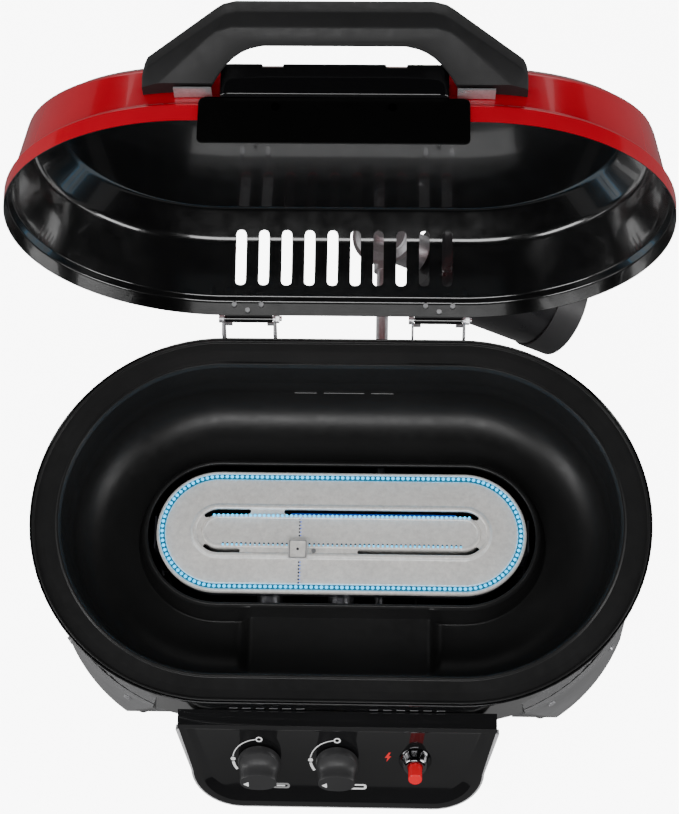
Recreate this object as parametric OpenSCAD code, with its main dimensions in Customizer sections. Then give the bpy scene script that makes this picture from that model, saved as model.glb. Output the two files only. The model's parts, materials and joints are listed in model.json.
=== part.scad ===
// Portable tabletop gas grill: racetrack bowl on four legs, hinged lid, lift-out
// water pan, two valves behind a leaning control panel, regulator and gas cylinder.
// Millimetres. X is side to side, -Y is the front, Z is up from the table.
// The lid is drawn open, as the grill stands when it is ready to cook.

/* [Bowl] */
// Length of the rim, side to side
rim_l = 584; // [560:2:620]
// Depth of the rim, front to back
rim_d = 358; // [350:2:370]
// Height of the rim above the table
rim_h = 190; // [186:1:200]
// Height of the bowl's underside above the table
shell_z = 78; // [72:1:80]
// Thickness of the sheet metal
sheet = 1.6; // [1.2:0.1:1.8]
// Gap left between pieces that move past each other
gap = 0.4; // [0.3:0.1:0.6]

/* [Lid] */
// How far the lid stands open
lid_angle = 92; // [88:1:96]
// Height of the lid's crown above the rim
lid_h = 107; // [100:1:115]
// Slope of the lid's front half (degrees)
lid_slope = 14.6; // [10:0.1:18]
// Height of the lid's straight lip
lip_h = 17; // [15:1:19]
// Distance of the hinge line behind the rim
hinge_back = 18; // [17:1:22]
// Height of the hinge line above the rim
hinge_up = 6; // [5:0.5:8]
// Distance of each hinge's middle from the grill's middle
hinge_x = 92; // [80:1:100]
// Radius of the hinge bolts
bolt_r = 2.5; // [2:0.1:3]
// Number of vent slots in the lid's back
vents = 10; // [6:2:12]
// Distance between vent slots
vent_pitch = 22.1; // [20:0.1:22.5]

/* [Handle] */
// Width over the handle's feet
handle_w = 306; // [290:2:320]
// How steeply the handle rises
handle_rise = 40; // [35:1:45]
// Reach of the handle from the lid's wall
handle_reach = 65; // [60:1:70]

/* [Burner and pan] */
// Half the straight length of the burner
burner_half = 118; // [115:1:120]
// Half the depth of the burner
burner_r = 60.5; // [58:0.5:62]
// Height of the burner's top below the rim
burner_drop = 55; // [52:1:58]
// Depth of the pan's floor below the rim
pan_drop = 88; // [86:1:88]
// Radius of the venturi tubes
venturi_r = 12.5; // [11:0.5:13]

/* [Control panel] */
// Lean of the control face back from upright
lean = 35; // [32:1:38]
// Distance of the outer knobs from the middle one
dial_pitch = 73; // [70:1:76]
// Height of the dials above the table
dial_z = 106; // [104:1:108]
// Diameter of a knob's skirt
knob_d = 40; // [36:1:42]

/* [Gas supply] */
// Sideways place of the gas inlet
inlet_x = 37; // [35:1:40]
// Height of the gas inlet above the table
inlet_z = 150; // [148:1:155]
// Radius of the regulator's pipe
pipe_r = 6; // [5:0.5:7]
// Radius of the gas cylinder
tank_r = 49.5; // [48:0.5:50]
// Slope of the gas cylinder below the horizontal
tank_slope = 28; // [25:1:30]

/* [Hidden] */
$fn = 64;
eps = 0.01;
// The grill is drawn about the bowl's middle and moved back to the middle of its box.
home_y = -46.7;
bowl_half = (rim_l - rim_d) / 2;
rim_r = rim_d / 2;
wall_r = rim_r - 4;
hinge_y = rim_r + hinge_back;
hinge_z = rim_h + hinge_up;
ledge_z = rim_h - 4.4;
burner_z = rim_h - burner_drop;
burner_floor = burner_z - 20;
venturi_z = 100;
venturi_x = [-dial_pitch + 4, 0];
pan_z = rim_h - pan_drop;
hump_z = 116.6;
hump_w = 196;
// Lid, about the rim plane
lid_lip = [[rim_r, gap], [rim_r, lip_h - 2], [rim_r - 5, lip_h + 2]];
lid_wall = [[rim_r - 15, 73], [rim_r - 39, 97]];
crown_r = rim_r - 39;
lid_crown = [for (k = [7:-1:0]) [crown_r * k / 8, lid_h - (lid_h - 97) * pow(k / 8, 2)]];
lid_outside = concat(lid_lip, lid_wall, lid_crown);
// Control face
face_y = -216;
face_top = 45.6;
face_w = 296;
corner_r = 46;
corner_x = 90;
corner_v = -14;
recess = 4;
box_top = 139.2;
fascia_t = 7;
// Valves, along the dial's axis, behind the face
valve_depth = 36;
valve_front = 12;
plug_r = 5.5;
stem_r = 3;
push_travel = 3;
manifold_r = 5;
manifold_y = -204;
manifold_z = 76;
feed_z = 91;
tank_yaw = -9;
tank_axis = [0, 90 + tank_slope, tank_yaw];
regulator_y = 305;
tank_start = 48;
tank_len = 164;
// Badge block, about the rim plane with the lid shut
badge_w = 182;
badge_z = 24.2;
badge_h = 26;
badge_front = 186;
leg_angles = [[-1, -1], [1, -1], [-1, 1], [1, 1]];

// ---- shared shapes ----

// Sweep a profile of [radius, height] round a racetrack with straight sides 2 * half long.
module race(half) {
  for (side = [-1, 1]) {
    translate([side * half, 0, 0])
      rotate([0, 0, -90 * side])
        rotate_extrude(angle = 180) children();
    mirror([0, side < 0 ? 1 : 0, 0])
      translate([-half, 0, 0])
        rotate([90, 0, 90])
          linear_extrude(2 * half) children();
  }
}

// A flat racetrack outline.
module track(half, r) {
  square([2 * half, 2 * r], center = true);
  for (side = [-1, 1])
    translate([side * half, 0]) circle(r);
}

// A plate with its corners rounded.
module round_plate(w, h, r) {
  square([w - 2 * r, h], center = true);
  square([w, h - 2 * r], center = true);
  for (x = [-1, 1], y = [-1, 1])
    translate([x * (w / 2 - r), y * (h / 2 - r)]) circle(r);
}

// A screw along +Z with a low round head above z = 0.
module screw(r, head_r, head_h, shank) {
  cylinder(r = head_r, h = head_h);
  translate([0, 0, -shank]) cylinder(r = r, h = shank + eps);
}

// A hexagonal nut or head along +Z.
module hexagon(across, h) {
  cylinder(d = across / cos(30), h = h, $fn = 6);
}

// A coil stood in for by a tube, as the spring's outer shape.
module coil(r, wire, h) {
  difference() {
    cylinder(r = r, h = h);
    translate([0, 0, -1]) cylinder(r = r - wire, h = h + 2);
  }
}

// Points inward by t, for the inside of a sheet-metal pressing.
function inside(points, t) = [for (p = points) [max(p[0] - t, 0), p[1] - t]];

// Lid pieces are drawn shut, about the rim plane, and swung open about the hinge line.
module on_lid() {
  translate([0, hinge_y, hinge_z])
    rotate([-lid_angle, 0, 0])
      translate([0, -hinge_y, -hinge_up]) children();
}

// Control pieces are drawn on the leaning face: Y runs up the face and Z out of it.
module on_face(x = 0) {
  translate([x, face_y, dial_z])
    rotate([90 - lean, 0, 0]) children();
}

// Cylinder pieces are drawn along +Z from the regulator's middle.
module on_tank() {
  translate([inlet_x, regulator_y, inlet_z])
    rotate(tank_axis) children();
}

module homed() {
  translate([0, home_y, 0]) children();
}

// ---- bowl and legs ----

module shell_profile() {
  polygon([
    [0, shell_z], [wall_r - 12, shell_z], [wall_r - 4, shell_z + 3], [wall_r, shell_z + 12],
    [wall_r, ledge_z - sheet], [rim_r, ledge_z - sheet], [rim_r, rim_h],
    [rim_r - sheet, rim_h], [rim_r - sheet, ledge_z], [wall_r - sheet, ledge_z],
    [wall_r - sheet, shell_z + 12.4], [wall_r - 5, shell_z + 4.4],
    [wall_r - 12.6, shell_z + sheet], [0, shell_z + sheet]]);
}

// Pressed steel bowl with a stepped rim, cooling slots, and holes for what passes through.
module base_shell() {
  slots = 6;
  slot_pitch = 12.4;
  color("dimgray") difference() {
    race(bowl_half) shell_profile();
    for (side = [-1, 1], k = [0:slots - 1])
      translate([side * (34 + k * slot_pitch), -wall_r, rim_h - 38])
        cube([8, 12, 3.4], center = true);
    for (x = venturi_x)
      translate([x, -wall_r, venturi_z]) rotate([90, 0, 0]) cylinder(r = 6.5, h = 20, center = true);
    translate([inlet_x, -wall_r, feed_z]) rotate([90, 0, 0]) cylinder(r = 6, h = 20, center = true);
    translate([inlet_x, wall_r, inlet_z]) rotate([90, 0, 0]) cylinder(r = 8.2, h = 20, center = true);
    translate([dial_pitch, -wall_r, 96]) rotate([90, 0, 0]) cylinder(r = 3, h = 24, center = true);
    for (k = [-3:3], side = [-1, 1])
      translate([k * 40, side * 60, shell_z - 1]) cylinder(r = 6, h = sheet + 2);
    for (s = leg_angles, a = [30, 56])
      translate([s[0] * bowl_half, 0, 94])
        rotate([0, 0, leg_turn(s, a)])
          translate([wall_r, 0, 0]) rotate([0, 90, 0]) cylinder(r = 2.1, h = 12, center = true);
    for (side = [-1, 1], x = [-14, 14])
      translate([side * hinge_x + x, wall_r, 160])
        rotate([90, 0, 0]) cylinder(r = 2.1, h = 12, center = true);
  }
}

// Direction of a point a degrees round the corner from the front or the back.
function leg_turn(s, a) = s[1] < 0
  ? (s[0] < 0 ? 270 - a : 270 + a)
  : (s[0] < 0 ? 90 + a : 90 - a);

// Curved leg: a wall wrapped round the bowl's corner, with a foot flange and two ribs.
module leg(s) {
  first = 21;
  last = 67;
  mid = (first + last) / 2;
  half_w = 92;
  color([0.22, 0.22, 0.23]) intersection() {
    mirror([s[0] > 0 ? 1 : 0, 0, 0])
      mirror([0, s[1] > 0 ? 1 : 0, 0])
        translate([-bowl_half, 0, 0])
          difference() {
            union() {
              rotate([0, 0, 270 - last])
                rotate_extrude(angle = last - first)
                  polygon([
                    [wall_r + 0.1, shell_z - 4], [wall_r + 0.1, 150], [wall_r + 2.6, 150],
                    [wall_r + 3.2, shell_z], [wall_r + 7, 8], [wall_r + 7, 4],
                    [wall_r - 20, 4], [wall_r - 20, 8], [wall_r + 3, 8], [wall_r - 1, shell_z - 4]]);
              for (a = [first + 8, last - 8])
                rotate([0, 0, 270 - a])
                  translate([wall_r - 16, -1.5, 7])
                    cube([18, 3, shell_z - 8]);
            }
            // top edge, higher towards the side
            rotate([90, 0, 360 - mid])
              linear_extrude(300)
                polygon([[-half_w, 146], [half_w, 98], [half_w, 200], [-half_w, 200]]);
            for (a = [30, 56])
              translate([0, 0, 94]) rotate([0, 0, 270 - a])
                translate([wall_r, 0, 0]) rotate([0, 90, 0]) cylinder(r = 2.1, h = 12, center = true);
            for (a = [first + 10, last - 10])
              rotate([0, 0, 270 - a]) translate([wall_r - 8, 0, 0]) cylinder(r = 3, h = 12);
          }
    // the end next to the panel is cut by a plane that leans inwards
    rotate([90, 0, 90])
      translate([0, 0, -400])
        linear_extrude(800)
          polygon([[-150, 0], [-174, 150], [174, 150], [150, 0]]);
  }
}
module leg_front_left() leg([-1, -1]);
module leg_front_right() leg([1, -1]);
module leg_rear_left() leg([-1, 1]);
module leg_rear_right() leg([1, 1]);

// Rubber pads pushed into the foot flanges, two to a leg.
module foot_pads() {
  color([0.08, 0.08, 0.08])
    for (s = leg_angles, a = [31, 57])
      translate([s[0] * bowl_half, 0, 0])
        rotate([0, 0, leg_turn(s, a)])
          translate([wall_r - 8, 0, 0]) {
            cylinder(r = 8, h = 3.8);
            translate([0, 0, 3]) cylinder(r = 2.9, h = 8);
          }
}

// Screws that hold the legs to the bowl.
module leg_screws() {
  color("silver")
    for (s = leg_angles, a = [30, 56])
      translate([s[0] * bowl_half, 0, 94])
        rotate([0, 0, leg_turn(s, a)])
          translate([wall_r + 3.4, 0, 0]) rotate([0, 90, 0]) screw(1.9, 4, 2, 9);
}

// Plate that keeps the burner's heat off the table, on four feet under the bowl.
module heat_shield() {
  drop = 14;
  color("gainsboro") translate([0, 0, shell_z - drop]) {
    linear_extrude(1.2) track(110, 80);
    for (x = [-90, 90], y = [-50, 50])
      translate([x, y, 1]) cylinder(r = 5, h = drop - 1.2);
  }
}

// ---- control panel ----

// Outline of the control face, grown on every side but its top.
module face_outline(grow) {
  r = corner_r + grow;
  lower = [for (a = [0:-4.5:-90]) [corner_x + r * cos(a), corner_v + r * sin(a)]];
  polygon(concat(
    [[-face_w / 2 - grow, face_top], [face_w / 2 + grow, face_top]], lower,
    [for (k = [len(lower) - 1:-1:0]) [-lower[k][0], lower[k][1]]]));
}

// The room between the face and the bowl's wall.
module behind_face(y_back) {
  rotate([90, 0, 90])
    translate([0, 0, -200])
      linear_extrude(400)
        polygon([[y_back, 143], [-190, 143], [-264, 37], [y_back, 58]]);
}

// Glossy front of the control panel, with its recessed dial field and its top ledge.
module control_fascia() {
  color([0.05, 0.05, 0.05]) difference() {
    intersection() {
      union() {
        on_face() translate([0, 0, -fascia_t]) linear_extrude(fascia_t) face_outline(0);
        translate([-face_w / 2, -192, 139.4]) cube([face_w, 192 - wall_r - 0.4, 3.6]);
      }
      behind_face(-wall_r - 0.4);
    }
    on_face() translate([0, 0, -recess])
      linear_extrude(recess + 1) intersection() {
        translate([0, 3]) scale([0.89, 0.89]) face_outline(0);
        translate([-face_w / 2, -60]) square([face_w, 98]);
      }
    for (x = [-dial_pitch, 0])
      on_face(x) cylinder(r = stem_r + 1.2, h = 40, center = true);
    on_face(dial_pitch) cylinder(r = 9.4, h = 40, center = true);
  }
}

// Pale band round the fascia's edge.
module panel_trim() {
  color("lightgray") intersection() {
    on_face() translate([0, 0, -fascia_t - 8]) linear_extrude(14) difference() {
      face_outline(1.8);
      face_outline(0.1);
      translate([-200, 30]) square([400, 40]);
    }
    behind_face(-wall_r - 3);
  }
}

// Section of the control box across the grill, smaller on every side by t.
module box_outline(t) {
  r = 37.3 - t;
  low = dial_z - 49;
  lower = [for (a = [0:-4.5:-90]) [95 + r * cos(a), low + 37.3 + r * sin(a)]];
  polygon(concat(
    [[-face_w / 2 + 0.5 + t, box_top - t], [face_w / 2 - 0.5 - t, box_top - t]], lower,
    [for (k = [len(lower) - 1:-1:0]) [-lower[k][0], lower[k][1]]]));
}

// Steel box behind the fascia, open at the back, where the valves sit.
module control_box() {
  back = -wall_r - 0.4;
  color("gray") intersection() {
    rotate([90, 0, 0]) linear_extrude(300) difference() {
      box_outline(0);
      box_outline(sheet + 0.2);
    }
    rotate([90, 0, 90]) translate([0, 0, -200])
      linear_extrude(400)
        polygon([[back, 150], [-176.4, 150], [-248.5, 47], [back, 47]]);
  }
}

// Valve body: a block with its taper bore, a cap at the front and a spud to the venturi.
module valve_body(x, spud_x) {
  bore_depth = valve_depth - 4;
  color("goldenrod") difference() {
    union() {
      on_face(x) {
        translate([-10, -10, -valve_depth]) cube([20, 20, valve_depth - valve_front - 2]);
        translate([0, 0, -valve_front - 3]) cylinder(r = 9, h = 3);
      }
      translate([spud_x, -192, venturi_z]) rotate([-90, 0, 0]) cylinder(r = 4, h = 26);
    }
    on_face(x) {
      translate([0, 0, -bore_depth]) cylinder(r = plug_r + 0.05, h = bore_depth - valve_front - 4);
      translate([0, 0, -valve_front - 5]) cylinder(r = stem_r + 0.3, h = 10);
    }
    translate([spud_x, -188, venturi_z]) rotate([-90, 0, 0]) cylinder(r = 0.6, h = 30);
    translate([x - 14, manifold_y, manifold_z]) rotate([0, 90, 0]) cylinder(r = manifold_r + 0.2, h = 28);
  }
}
module valve_body_left() valve_body(-dial_pitch, venturi_x[0]);
module valve_body_right() valve_body(0, venturi_x[1]);

// Plug that turns in the valve body and carries the stem's tang.
module valve_plug(x) {
  plug_len = 9;
  color("khaki") on_face(x) translate([0, 0, -valve_depth + 4.2]) difference() {
    cylinder(r = plug_r, h = plug_len);
    translate([0, 0, 3]) cylinder(r = stem_r + 0.05, h = plug_len);
  }
}
module valve_plug_left() valve_plug(-dial_pitch);
module valve_plug_right() valve_plug(0);

// Stem: slides in the plug and carries the knob on its outer end.
module valve_stem(x) {
  color("silver") on_face(x) {
    translate([0, 0, -25]) cylinder(r = stem_r, h = 33);
    translate([0, 0, -18.6]) cylinder(r = plug_r - 0.3, h = 1.6);
  }
}
module valve_stem_left() valve_stem(-dial_pitch);
module valve_stem_right() valve_stem(0);

// Spring between the plug and the stem's collar.
module valve_spring(x) {
  color("gray") on_face(x) translate([0, 0, -22.6]) coil(plug_r - 0.4, 1.6, 3.8);
}
module valve_spring_left() valve_spring(-dial_pitch);
module valve_spring_right() valve_spring(0);

// Knob: round skirt, waisted grip and a socket for the stem.
module knob(x) {
  color([0.13, 0.13, 0.14]) on_face(x) difference() {
    union() {
      translate([0, 0, -recess + push_travel + 1]) cylinder(d = knob_d, h = 9);
      intersection() {
        translate([0, 0, 9 - recess + push_travel]) cylinder(d = knob_d - 3, h = 13);
        translate([-knob_d / 2, -7, 0]) cube([knob_d, 14, 40]);
      }
    }
    translate([0, 0, -1]) cylinder(r = stem_r + 0.05, h = 9.4);
  }
}
module knob_left() knob(-dial_pitch);
module knob_right() knob(0);

// Flared collar that guides the igniter's button.
module igniter_collar() {
  color([0.15, 0.15, 0.16]) on_face(dial_pitch) difference() {
    union() {
      translate([0, 0, -recess + 0.2]) cylinder(r1 = 14, r2 = 9.5, h = 10);
      translate([0, 0, -20]) cylinder(r = 9.2, h = 20 - recess + 0.4);
    }
    translate([0, 0, -22]) cylinder(r = 6.45, h = 40);
  }
}

// Red push button.
module igniter_button() {
  color("red") on_face(dial_pitch) {
    translate([0, 0, -10]) cylinder(r = 6.4, h = 33);
    translate([0, 0, -18]) cylinder(r = 2.4, h = 9);
  }
}

// Return spring under the button.
module igniter_spring() {
  color("gray") on_face(dial_pitch) translate([0, 0, -19.6]) coil(5, 1, 9.4);
}

// Piezo cell behind the panel.
module igniter_body() {
  color([0.1, 0.1, 0.1]) on_face(dial_pitch) difference() {
    union() {
      translate([0, 0, -34]) cylinder(r = 9, h = 13.8);
      translate([0, 0, -40]) cylinder(r = 3, h = 7);
    }
    translate([0, 0, -28]) cylinder(r = 2.6, h = 20);
  }
}

// ---- burner ----

// Upper pressing of the ring burner, with the bridges that carry the spark box.
module ring_burner_top() {
  z = burner_z;
  color("lightgray") difference() {
    union() {
      race(burner_half) polygon([
        [22, z - 1.4], [22, z + 1.4], [23.4, z + 2.4], [25, z + 2.4], [27, z],
        [burner_r - 2.5, z], [burner_r, z - 1.4], [burner_r, z - 6],
        [burner_r - 1.2, z - 6], [burner_r - 1.2, z - 1.4]]);
      translate([-90, 17.6, z - 1.2]) cube([34, 5, 1.2]);
      translate([-98, -22.6, z - 1.2]) cube([115, 5, 1.2]);
      for (end = [0, 180])
        rotate([0, 0, end]) translate([burner_half, 0, z - 1.2])
          rotate([0, 0, -48]) rotate_extrude(angle = 96) translate([17.1, 0]) square([5.5, 1.2]);
    }
    translate([-41, -20, z - 4]) cylinder(r = 2.1, h = 8);
  }
}

// Lower pressing of the ring burner: a trough with a gas inlet hole.
module ring_burner_base() {
  z = burner_z - 1.6;
  f = burner_floor;
  color("silver") difference() {
    race(burner_half) polygon([
      [23.6, f], [burner_r - 1.5, f], [burner_r - 1.5, z], [burner_r - 2.9, z],
      [burner_r - 2.9, f + 1.4], [25, f + 1.4], [25, z], [23.6, z]]);
    translate([0, -42, f - 1]) cylinder(r = 9, h = 4);
  }
}

// Inner bar burner, a flat hollow bar.
module bar_burner() {
  f = burner_floor;
  color("lightgray") difference() {
    race(burner_half) polygon([[0, f], [15.6, f], [17, f + 2], [17, burner_z], [15.6, burner_z + 1],
                               [0, burner_z + 1]]);
    race(burner_half) polygon([[0, f + 1.4], [15.4, f + 1.4], [15.4, burner_z - 0.4],
                               [0, burner_z - 0.4]]);
    translate([venturi_x[0], 0, f - 1]) cylinder(r = 9, h = 4);
  }
}

// Folded brackets that hold the burner's ends up from the bowl's floor.
module burner_brackets() {
  plate = 1.6;
  reach = burner_half + burner_r;
  color("silver")
    for (side = [0, 1])
      mirror([side, 0, 0])
        translate([reach + 1, 0, shell_z + sheet]) {
          translate([0, -16, 0]) cube([plate, 32, burner_z - 8 - shell_z]);
          translate([-14, -16, burner_floor - shell_z - sheet - plate - 0.1])
            cube([14 + plate, 32, plate]);
          translate([-18, -16, 0]) cube([18 + plate, 32, plate]);
        }
}

// Venturi tube with a flared mouth and a riser into its burner.
module venturi(x, end_y) {
  color("silver") difference() {
    union() {
      translate([x, -166, venturi_z]) rotate([-90, 0, 0]) cylinder(r = venturi_r, h = end_y + 166 + 9);
      translate([x, end_y, venturi_z]) cylinder(r = 8.8, h = burner_floor - venturi_z + 1);
      translate([x, -170, venturi_z]) rotate([-90, 0, 0])
        cylinder(r1 = venturi_r + 1, r2 = venturi_r, h = 10);
    }
    translate([x, -171, venturi_z]) rotate([-90, 0, 0])
      cylinder(r = venturi_r - 1.4, h = end_y + 171 + 6);
    translate([x, end_y, venturi_z]) cylinder(r = 7.6, h = burner_floor - venturi_z + 3);
    for (side = [-1, 1])
      translate([x + side * venturi_r, -154, venturi_z]) cube([8, 12, 9], center = true);
  }
}
module venturi_left() venturi(venturi_x[0], 0);
module venturi_right() venturi(venturi_x[1], -42);

// Spark box over the electrode.
module collector_box() {
  color("gainsboro") translate([-50, -29, burner_z + 2.6]) difference() {
    cube([18, 19, 5]);
    translate([1.2, 1.2, -1]) cube([15.6, 19, 4.8]);
  }
}

// Ceramic post and metal tip.
module electrode() {
  color("white") translate([-41, -20, 94]) cylinder(r = 2, h = burner_z - 94 - 0.6);
  color("silver") translate([-41, -20, burner_z - 1]) cylinder(r = 0.9, h = 5.6);
}

// Lead from the igniter to the electrode, under the pan.
module ignition_wire() {
  r = 1.2;
  z = 83.4;
  // from the back of the piezo cell, through the bowl's front wall, to the electrode
  route = [[dial_pitch, -181.6, 81.9], [dial_pitch, -178.4, 96], [dial_pitch, -160, 96],
           [dial_pitch, -150, z], [dial_pitch, -50, z], [-41, -20, z], [-41, -20, 92.6]];
  color("black")
    for (k = [0:len(route) - 2])
      rod(route[k], route[k + 1], r, $fn = 10);
}

// A round rod with ball ends between two points.
module rod(a, b, r) {
  d = b - a;
  l = norm(d);
  translate(a) {
    sphere(r);
    rotate([0, acos(d[2] / l), atan2(d[1], d[0])]) cylinder(r = r, h = l);
    translate(d) sphere(r);
  }
}

// Screws in the burner: the spark box's and the bracket ends'.
module burner_screws() {
  color("silver") {
    translate([-26, -19.6, burner_z]) cylinder(r = 2.2, h = 2);
    for (side = [-1, 1], y = [-9, 9])
      translate([side * (burner_half + burner_r - 8), y, burner_floor - 1.9])
        rotate([180, 0, 0]) cylinder(r = 3, h = 2);
  }
}

// ---- gas line inside the base ----

// Pipe across the two valves, capped at its left end.
module manifold() {
  color("gray") difference() {
    translate([-dial_pitch - 16, manifold_y, manifold_z]) rotate([0, 90, 0])
      cylinder(r = manifold_r, h = dial_pitch + 16 + inlet_x + 8);
    translate([-dial_pitch - 14, manifold_y, manifold_z]) rotate([0, 90, 0])
      cylinder(r = manifold_r - 1.5, h = dial_pitch + 12 + inlet_x + 8);
  }
}

// Feed pipe: down inside the back wall, forward under the pan and burner, to the manifold.
module inlet_pipe() {
  r = 4.5;
  y_back = wall_r - 12;
  bend = 12;
  front_y = -192;
  color("gray") translate([inlet_x, 0, 0]) {
    translate([0, y_back, inlet_z]) sphere(r);
    translate([0, y_back, inlet_z]) rotate([-90, 0, 0]) cylinder(r = r, h = 8);
    translate([0, y_back, feed_z + bend]) cylinder(r = r, h = inlet_z - feed_z - bend);
    translate([0, y_back - bend, feed_z + bend])
      rotate([90, 0, 90]) rotate([0, 0, -90])
        rotate_extrude(angle = 90) translate([bend, 0]) circle(r);
    translate([0, front_y, feed_z]) rotate([-90, 0, 0]) cylinder(r = r, h = y_back - bend - front_y);
    rod([0, front_y, feed_z], [0, manifold_y + 3.4, manifold_z + 3.8], r - 1);
  }
  // union nut where the line comes apart
  color("goldenrod") translate([inlet_x, -62, feed_z]) rotate([90, 0, 0]) hexagon(14, 12);
}

// Inlet socket through the back wall: nut, flange and bore for the regulator's pipe.
module inlet_fitting() {
  color("silver") translate([inlet_x, 0, inlet_z]) difference() {
    union() {
      translate([0, wall_r - 3.8, 0]) rotate([-90, 0, 0]) cylinder(r = 8, h = 18);
      translate([0, wall_r + 0.2, 0]) rotate([-90, 0, 0]) cylinder(r = 13, h = 3);
      translate([0, wall_r + 3, 0]) rotate([-90, 0, 0]) hexagon(20, 7);
    }
    translate([0, wall_r - 1, 0]) rotate([-90, 0, 0]) cylinder(r = pipe_r + 0.05, h = 30);
    translate([0, wall_r - 6, 0]) rotate([-90, 0, 0]) cylinder(r = 3, h = 10);
  }
}

// ---- hinges ----

// Bracket on the bowl: a back plate and two ears that carry the bolt.
module hinge_bracket(x) {
  ear_x = 25;
  ear_t = 2;
  color("silver") translate([x, 0, 0]) difference() {
    union() {
      translate([-ear_x, wall_r + 0.2, 148]) cube([2 * ear_x, 2, 30]);
      for (side = [-1, 1])
        translate([side * ear_x - ear_t / 2, 0, 0])
          rotate([90, 0, 90]) linear_extrude(ear_t) {
            polygon([
              [wall_r + 0.2, 148], [wall_r + 0.2, 178], [rim_r + 1.4, 181],
              [rim_r + 1.4, hinge_z - 2], [hinge_y - 6, hinge_z + 2], [hinge_y + 6.5, hinge_z],
              [hinge_y + 3, 180], [wall_r + 9, 150]]);
            translate([hinge_y, hinge_z]) circle(6.5);
          }
      // tabs that the lid's leaf stops against
      for (side = [-1, 1])
        translate([side * (ear_x - 4) - 4, hinge_y - 1, hinge_z - 16]) cube([8, 2, 6]);
    }
    translate([-40, hinge_y, hinge_z]) rotate([0, 90, 0]) cylinder(r = bolt_r, h = 80);
    for (dx = [-14, 14])
      translate([dx, wall_r, 160]) rotate([90, 0, 0]) cylinder(r = 2.1, h = 12, center = true);
  }
}
module hinge_bracket_left() hinge_bracket(-hinge_x);
module hinge_bracket_right() hinge_bracket(hinge_x);

// Screws that hold the hinge brackets to the bowl.
module bracket_screws() {
  color("silver")
    for (side = [-1, 1], dx = [-14, 14])
      translate([side * hinge_x + dx, wall_r + 2.3, 160])
        rotate([-90, 0, 0]) screw(1.9, 4, 2, 8);
}

// Bolts with round heads, one to a hinge.
module hinge_bolts() {
  color("silver")
    for (side = [-1, 1])
      translate([side * hinge_x, hinge_y, hinge_z]) rotate([0, 90, 0]) {
        translate([0, 0, -26]) cylinder(r = bolt_r, h = 58);
        translate([0, 0, -29]) cylinder(r = 4.6, h = 2.9);
      }
}

// Nuts on the hinge bolts.
module hinge_nuts() {
  color("silver")
    for (side = [-1, 1])
      translate([side * hinge_x + 26.1, hinge_y, hinge_z]) rotate([0, 90, 0]) difference() {
        hexagon(8, 3.6);
        translate([0, 0, -1]) cylinder(r = bolt_r, h = 8);
      }
}

// Leaf on the lid: a plate on the lip and a tube round the bolt.
module hinge_leaf(x) {
  half_w = 23;
  color([0.1, 0.1, 0.1]) on_lid() translate([x, 0, 0]) difference() {
    union() {
      translate([-half_w, rim_r + 0.1, 2]) cube([2 * half_w, 1.6, lip_h - 4]);
      translate([-half_w, rim_r + 0.1, hinge_up + 2.4]) cube([2 * half_w, hinge_back, 1.6]);
      translate([-half_w, hinge_y, hinge_up]) rotate([0, 90, 0]) cylinder(r = 4.2, h = 2 * half_w);
    }
    translate([-half_w - 1, hinge_y, hinge_up]) rotate([0, 90, 0])
      cylinder(r = bolt_r + 0.05, h = 2 * half_w + 2);
    for (p = [[-13, 11], [13, 11]])
      translate([p[0], rim_r, p[1]]) rotate([90, 0, 0]) cylinder(r = 1.7, h = 12, center = true);
    translate([0, rim_r, 5]) rotate([90, 0, 0]) cylinder(r = 1.7, h = 12, center = true);
  }
}
module hinge_leaf_left() hinge_leaf(-hinge_x);
module hinge_leaf_right() hinge_leaf(hinge_x);

// Screws that hold the leaves, with their heads inside the lid.
module leaf_screws() {
  color("silver") on_lid()
    for (side = [-1, 1], p = [[-13, 11], [13, 11], [0, 5]])
      translate([side * hinge_x + p[0], rim_r - sheet - 0.1, p[1]])
        rotate([90, 0, 0]) screw(1.6, 2.3, 1.8, 6);
}

// ---- lid ----

module lid_volume(grow) {
  race(bowl_half) polygon(concat([[0, gap]], [for (p = lid_outside) [p[0] + grow, p[1] + grow]]));
}

// The space over the lid's sloping front, moved in by depth.
module over_front(depth) {
  translate([0, -20, lid_h - depth]) rotate([lid_slope, 0, 0])
    translate([-400, -300, 0]) cube([800, 300, 120]);
}

// Pressed steel lid with a stepped lip, a bevelled shoulder and vent slots in its back.
module lid_shell() {
  slot_r = 5;
  color("red") on_lid() difference() {
    difference() {
      race(bowl_half) polygon(concat([[0, gap]], lid_outside));
      over_front(0);
    }
    difference() {
      race(bowl_half) polygon(concat([[0, gap - 2]], inside(lid_outside, sheet)));
      over_front(sheet / cos(lid_slope));
    }
    for (k = [0:vents - 1])
      translate([(k - (vents - 1) / 2) * vent_pitch, rim_r + 10, 0])
        rotate([90, 0, 0]) linear_extrude(60) {
          translate([-slot_r, 34]) square([2 * slot_r, 42]);
          for (z = [34, 76]) translate([0, z]) circle(slot_r);
        }
    for (side = [-1, 1], p = [[-13, 11], [13, 11], [0, 5]])
      translate([side * hinge_x + p[0], rim_r, p[1]])
        rotate([90, 0, 0]) cylinder(r = 1.7, h = 12, center = true);
    for (x = [-46, 46])
      translate([x, -rim_r, 11]) rotate([90, 0, 0]) cylinder(r = 1.7, h = 12, center = true);
    for (side = [-1, 1], x = [112, 138])
      translate([side * x, -rim_r, 38]) rotate([90, 0, 0]) cylinder(r = 2.2, h = 60, center = true);
  }
}

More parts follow.
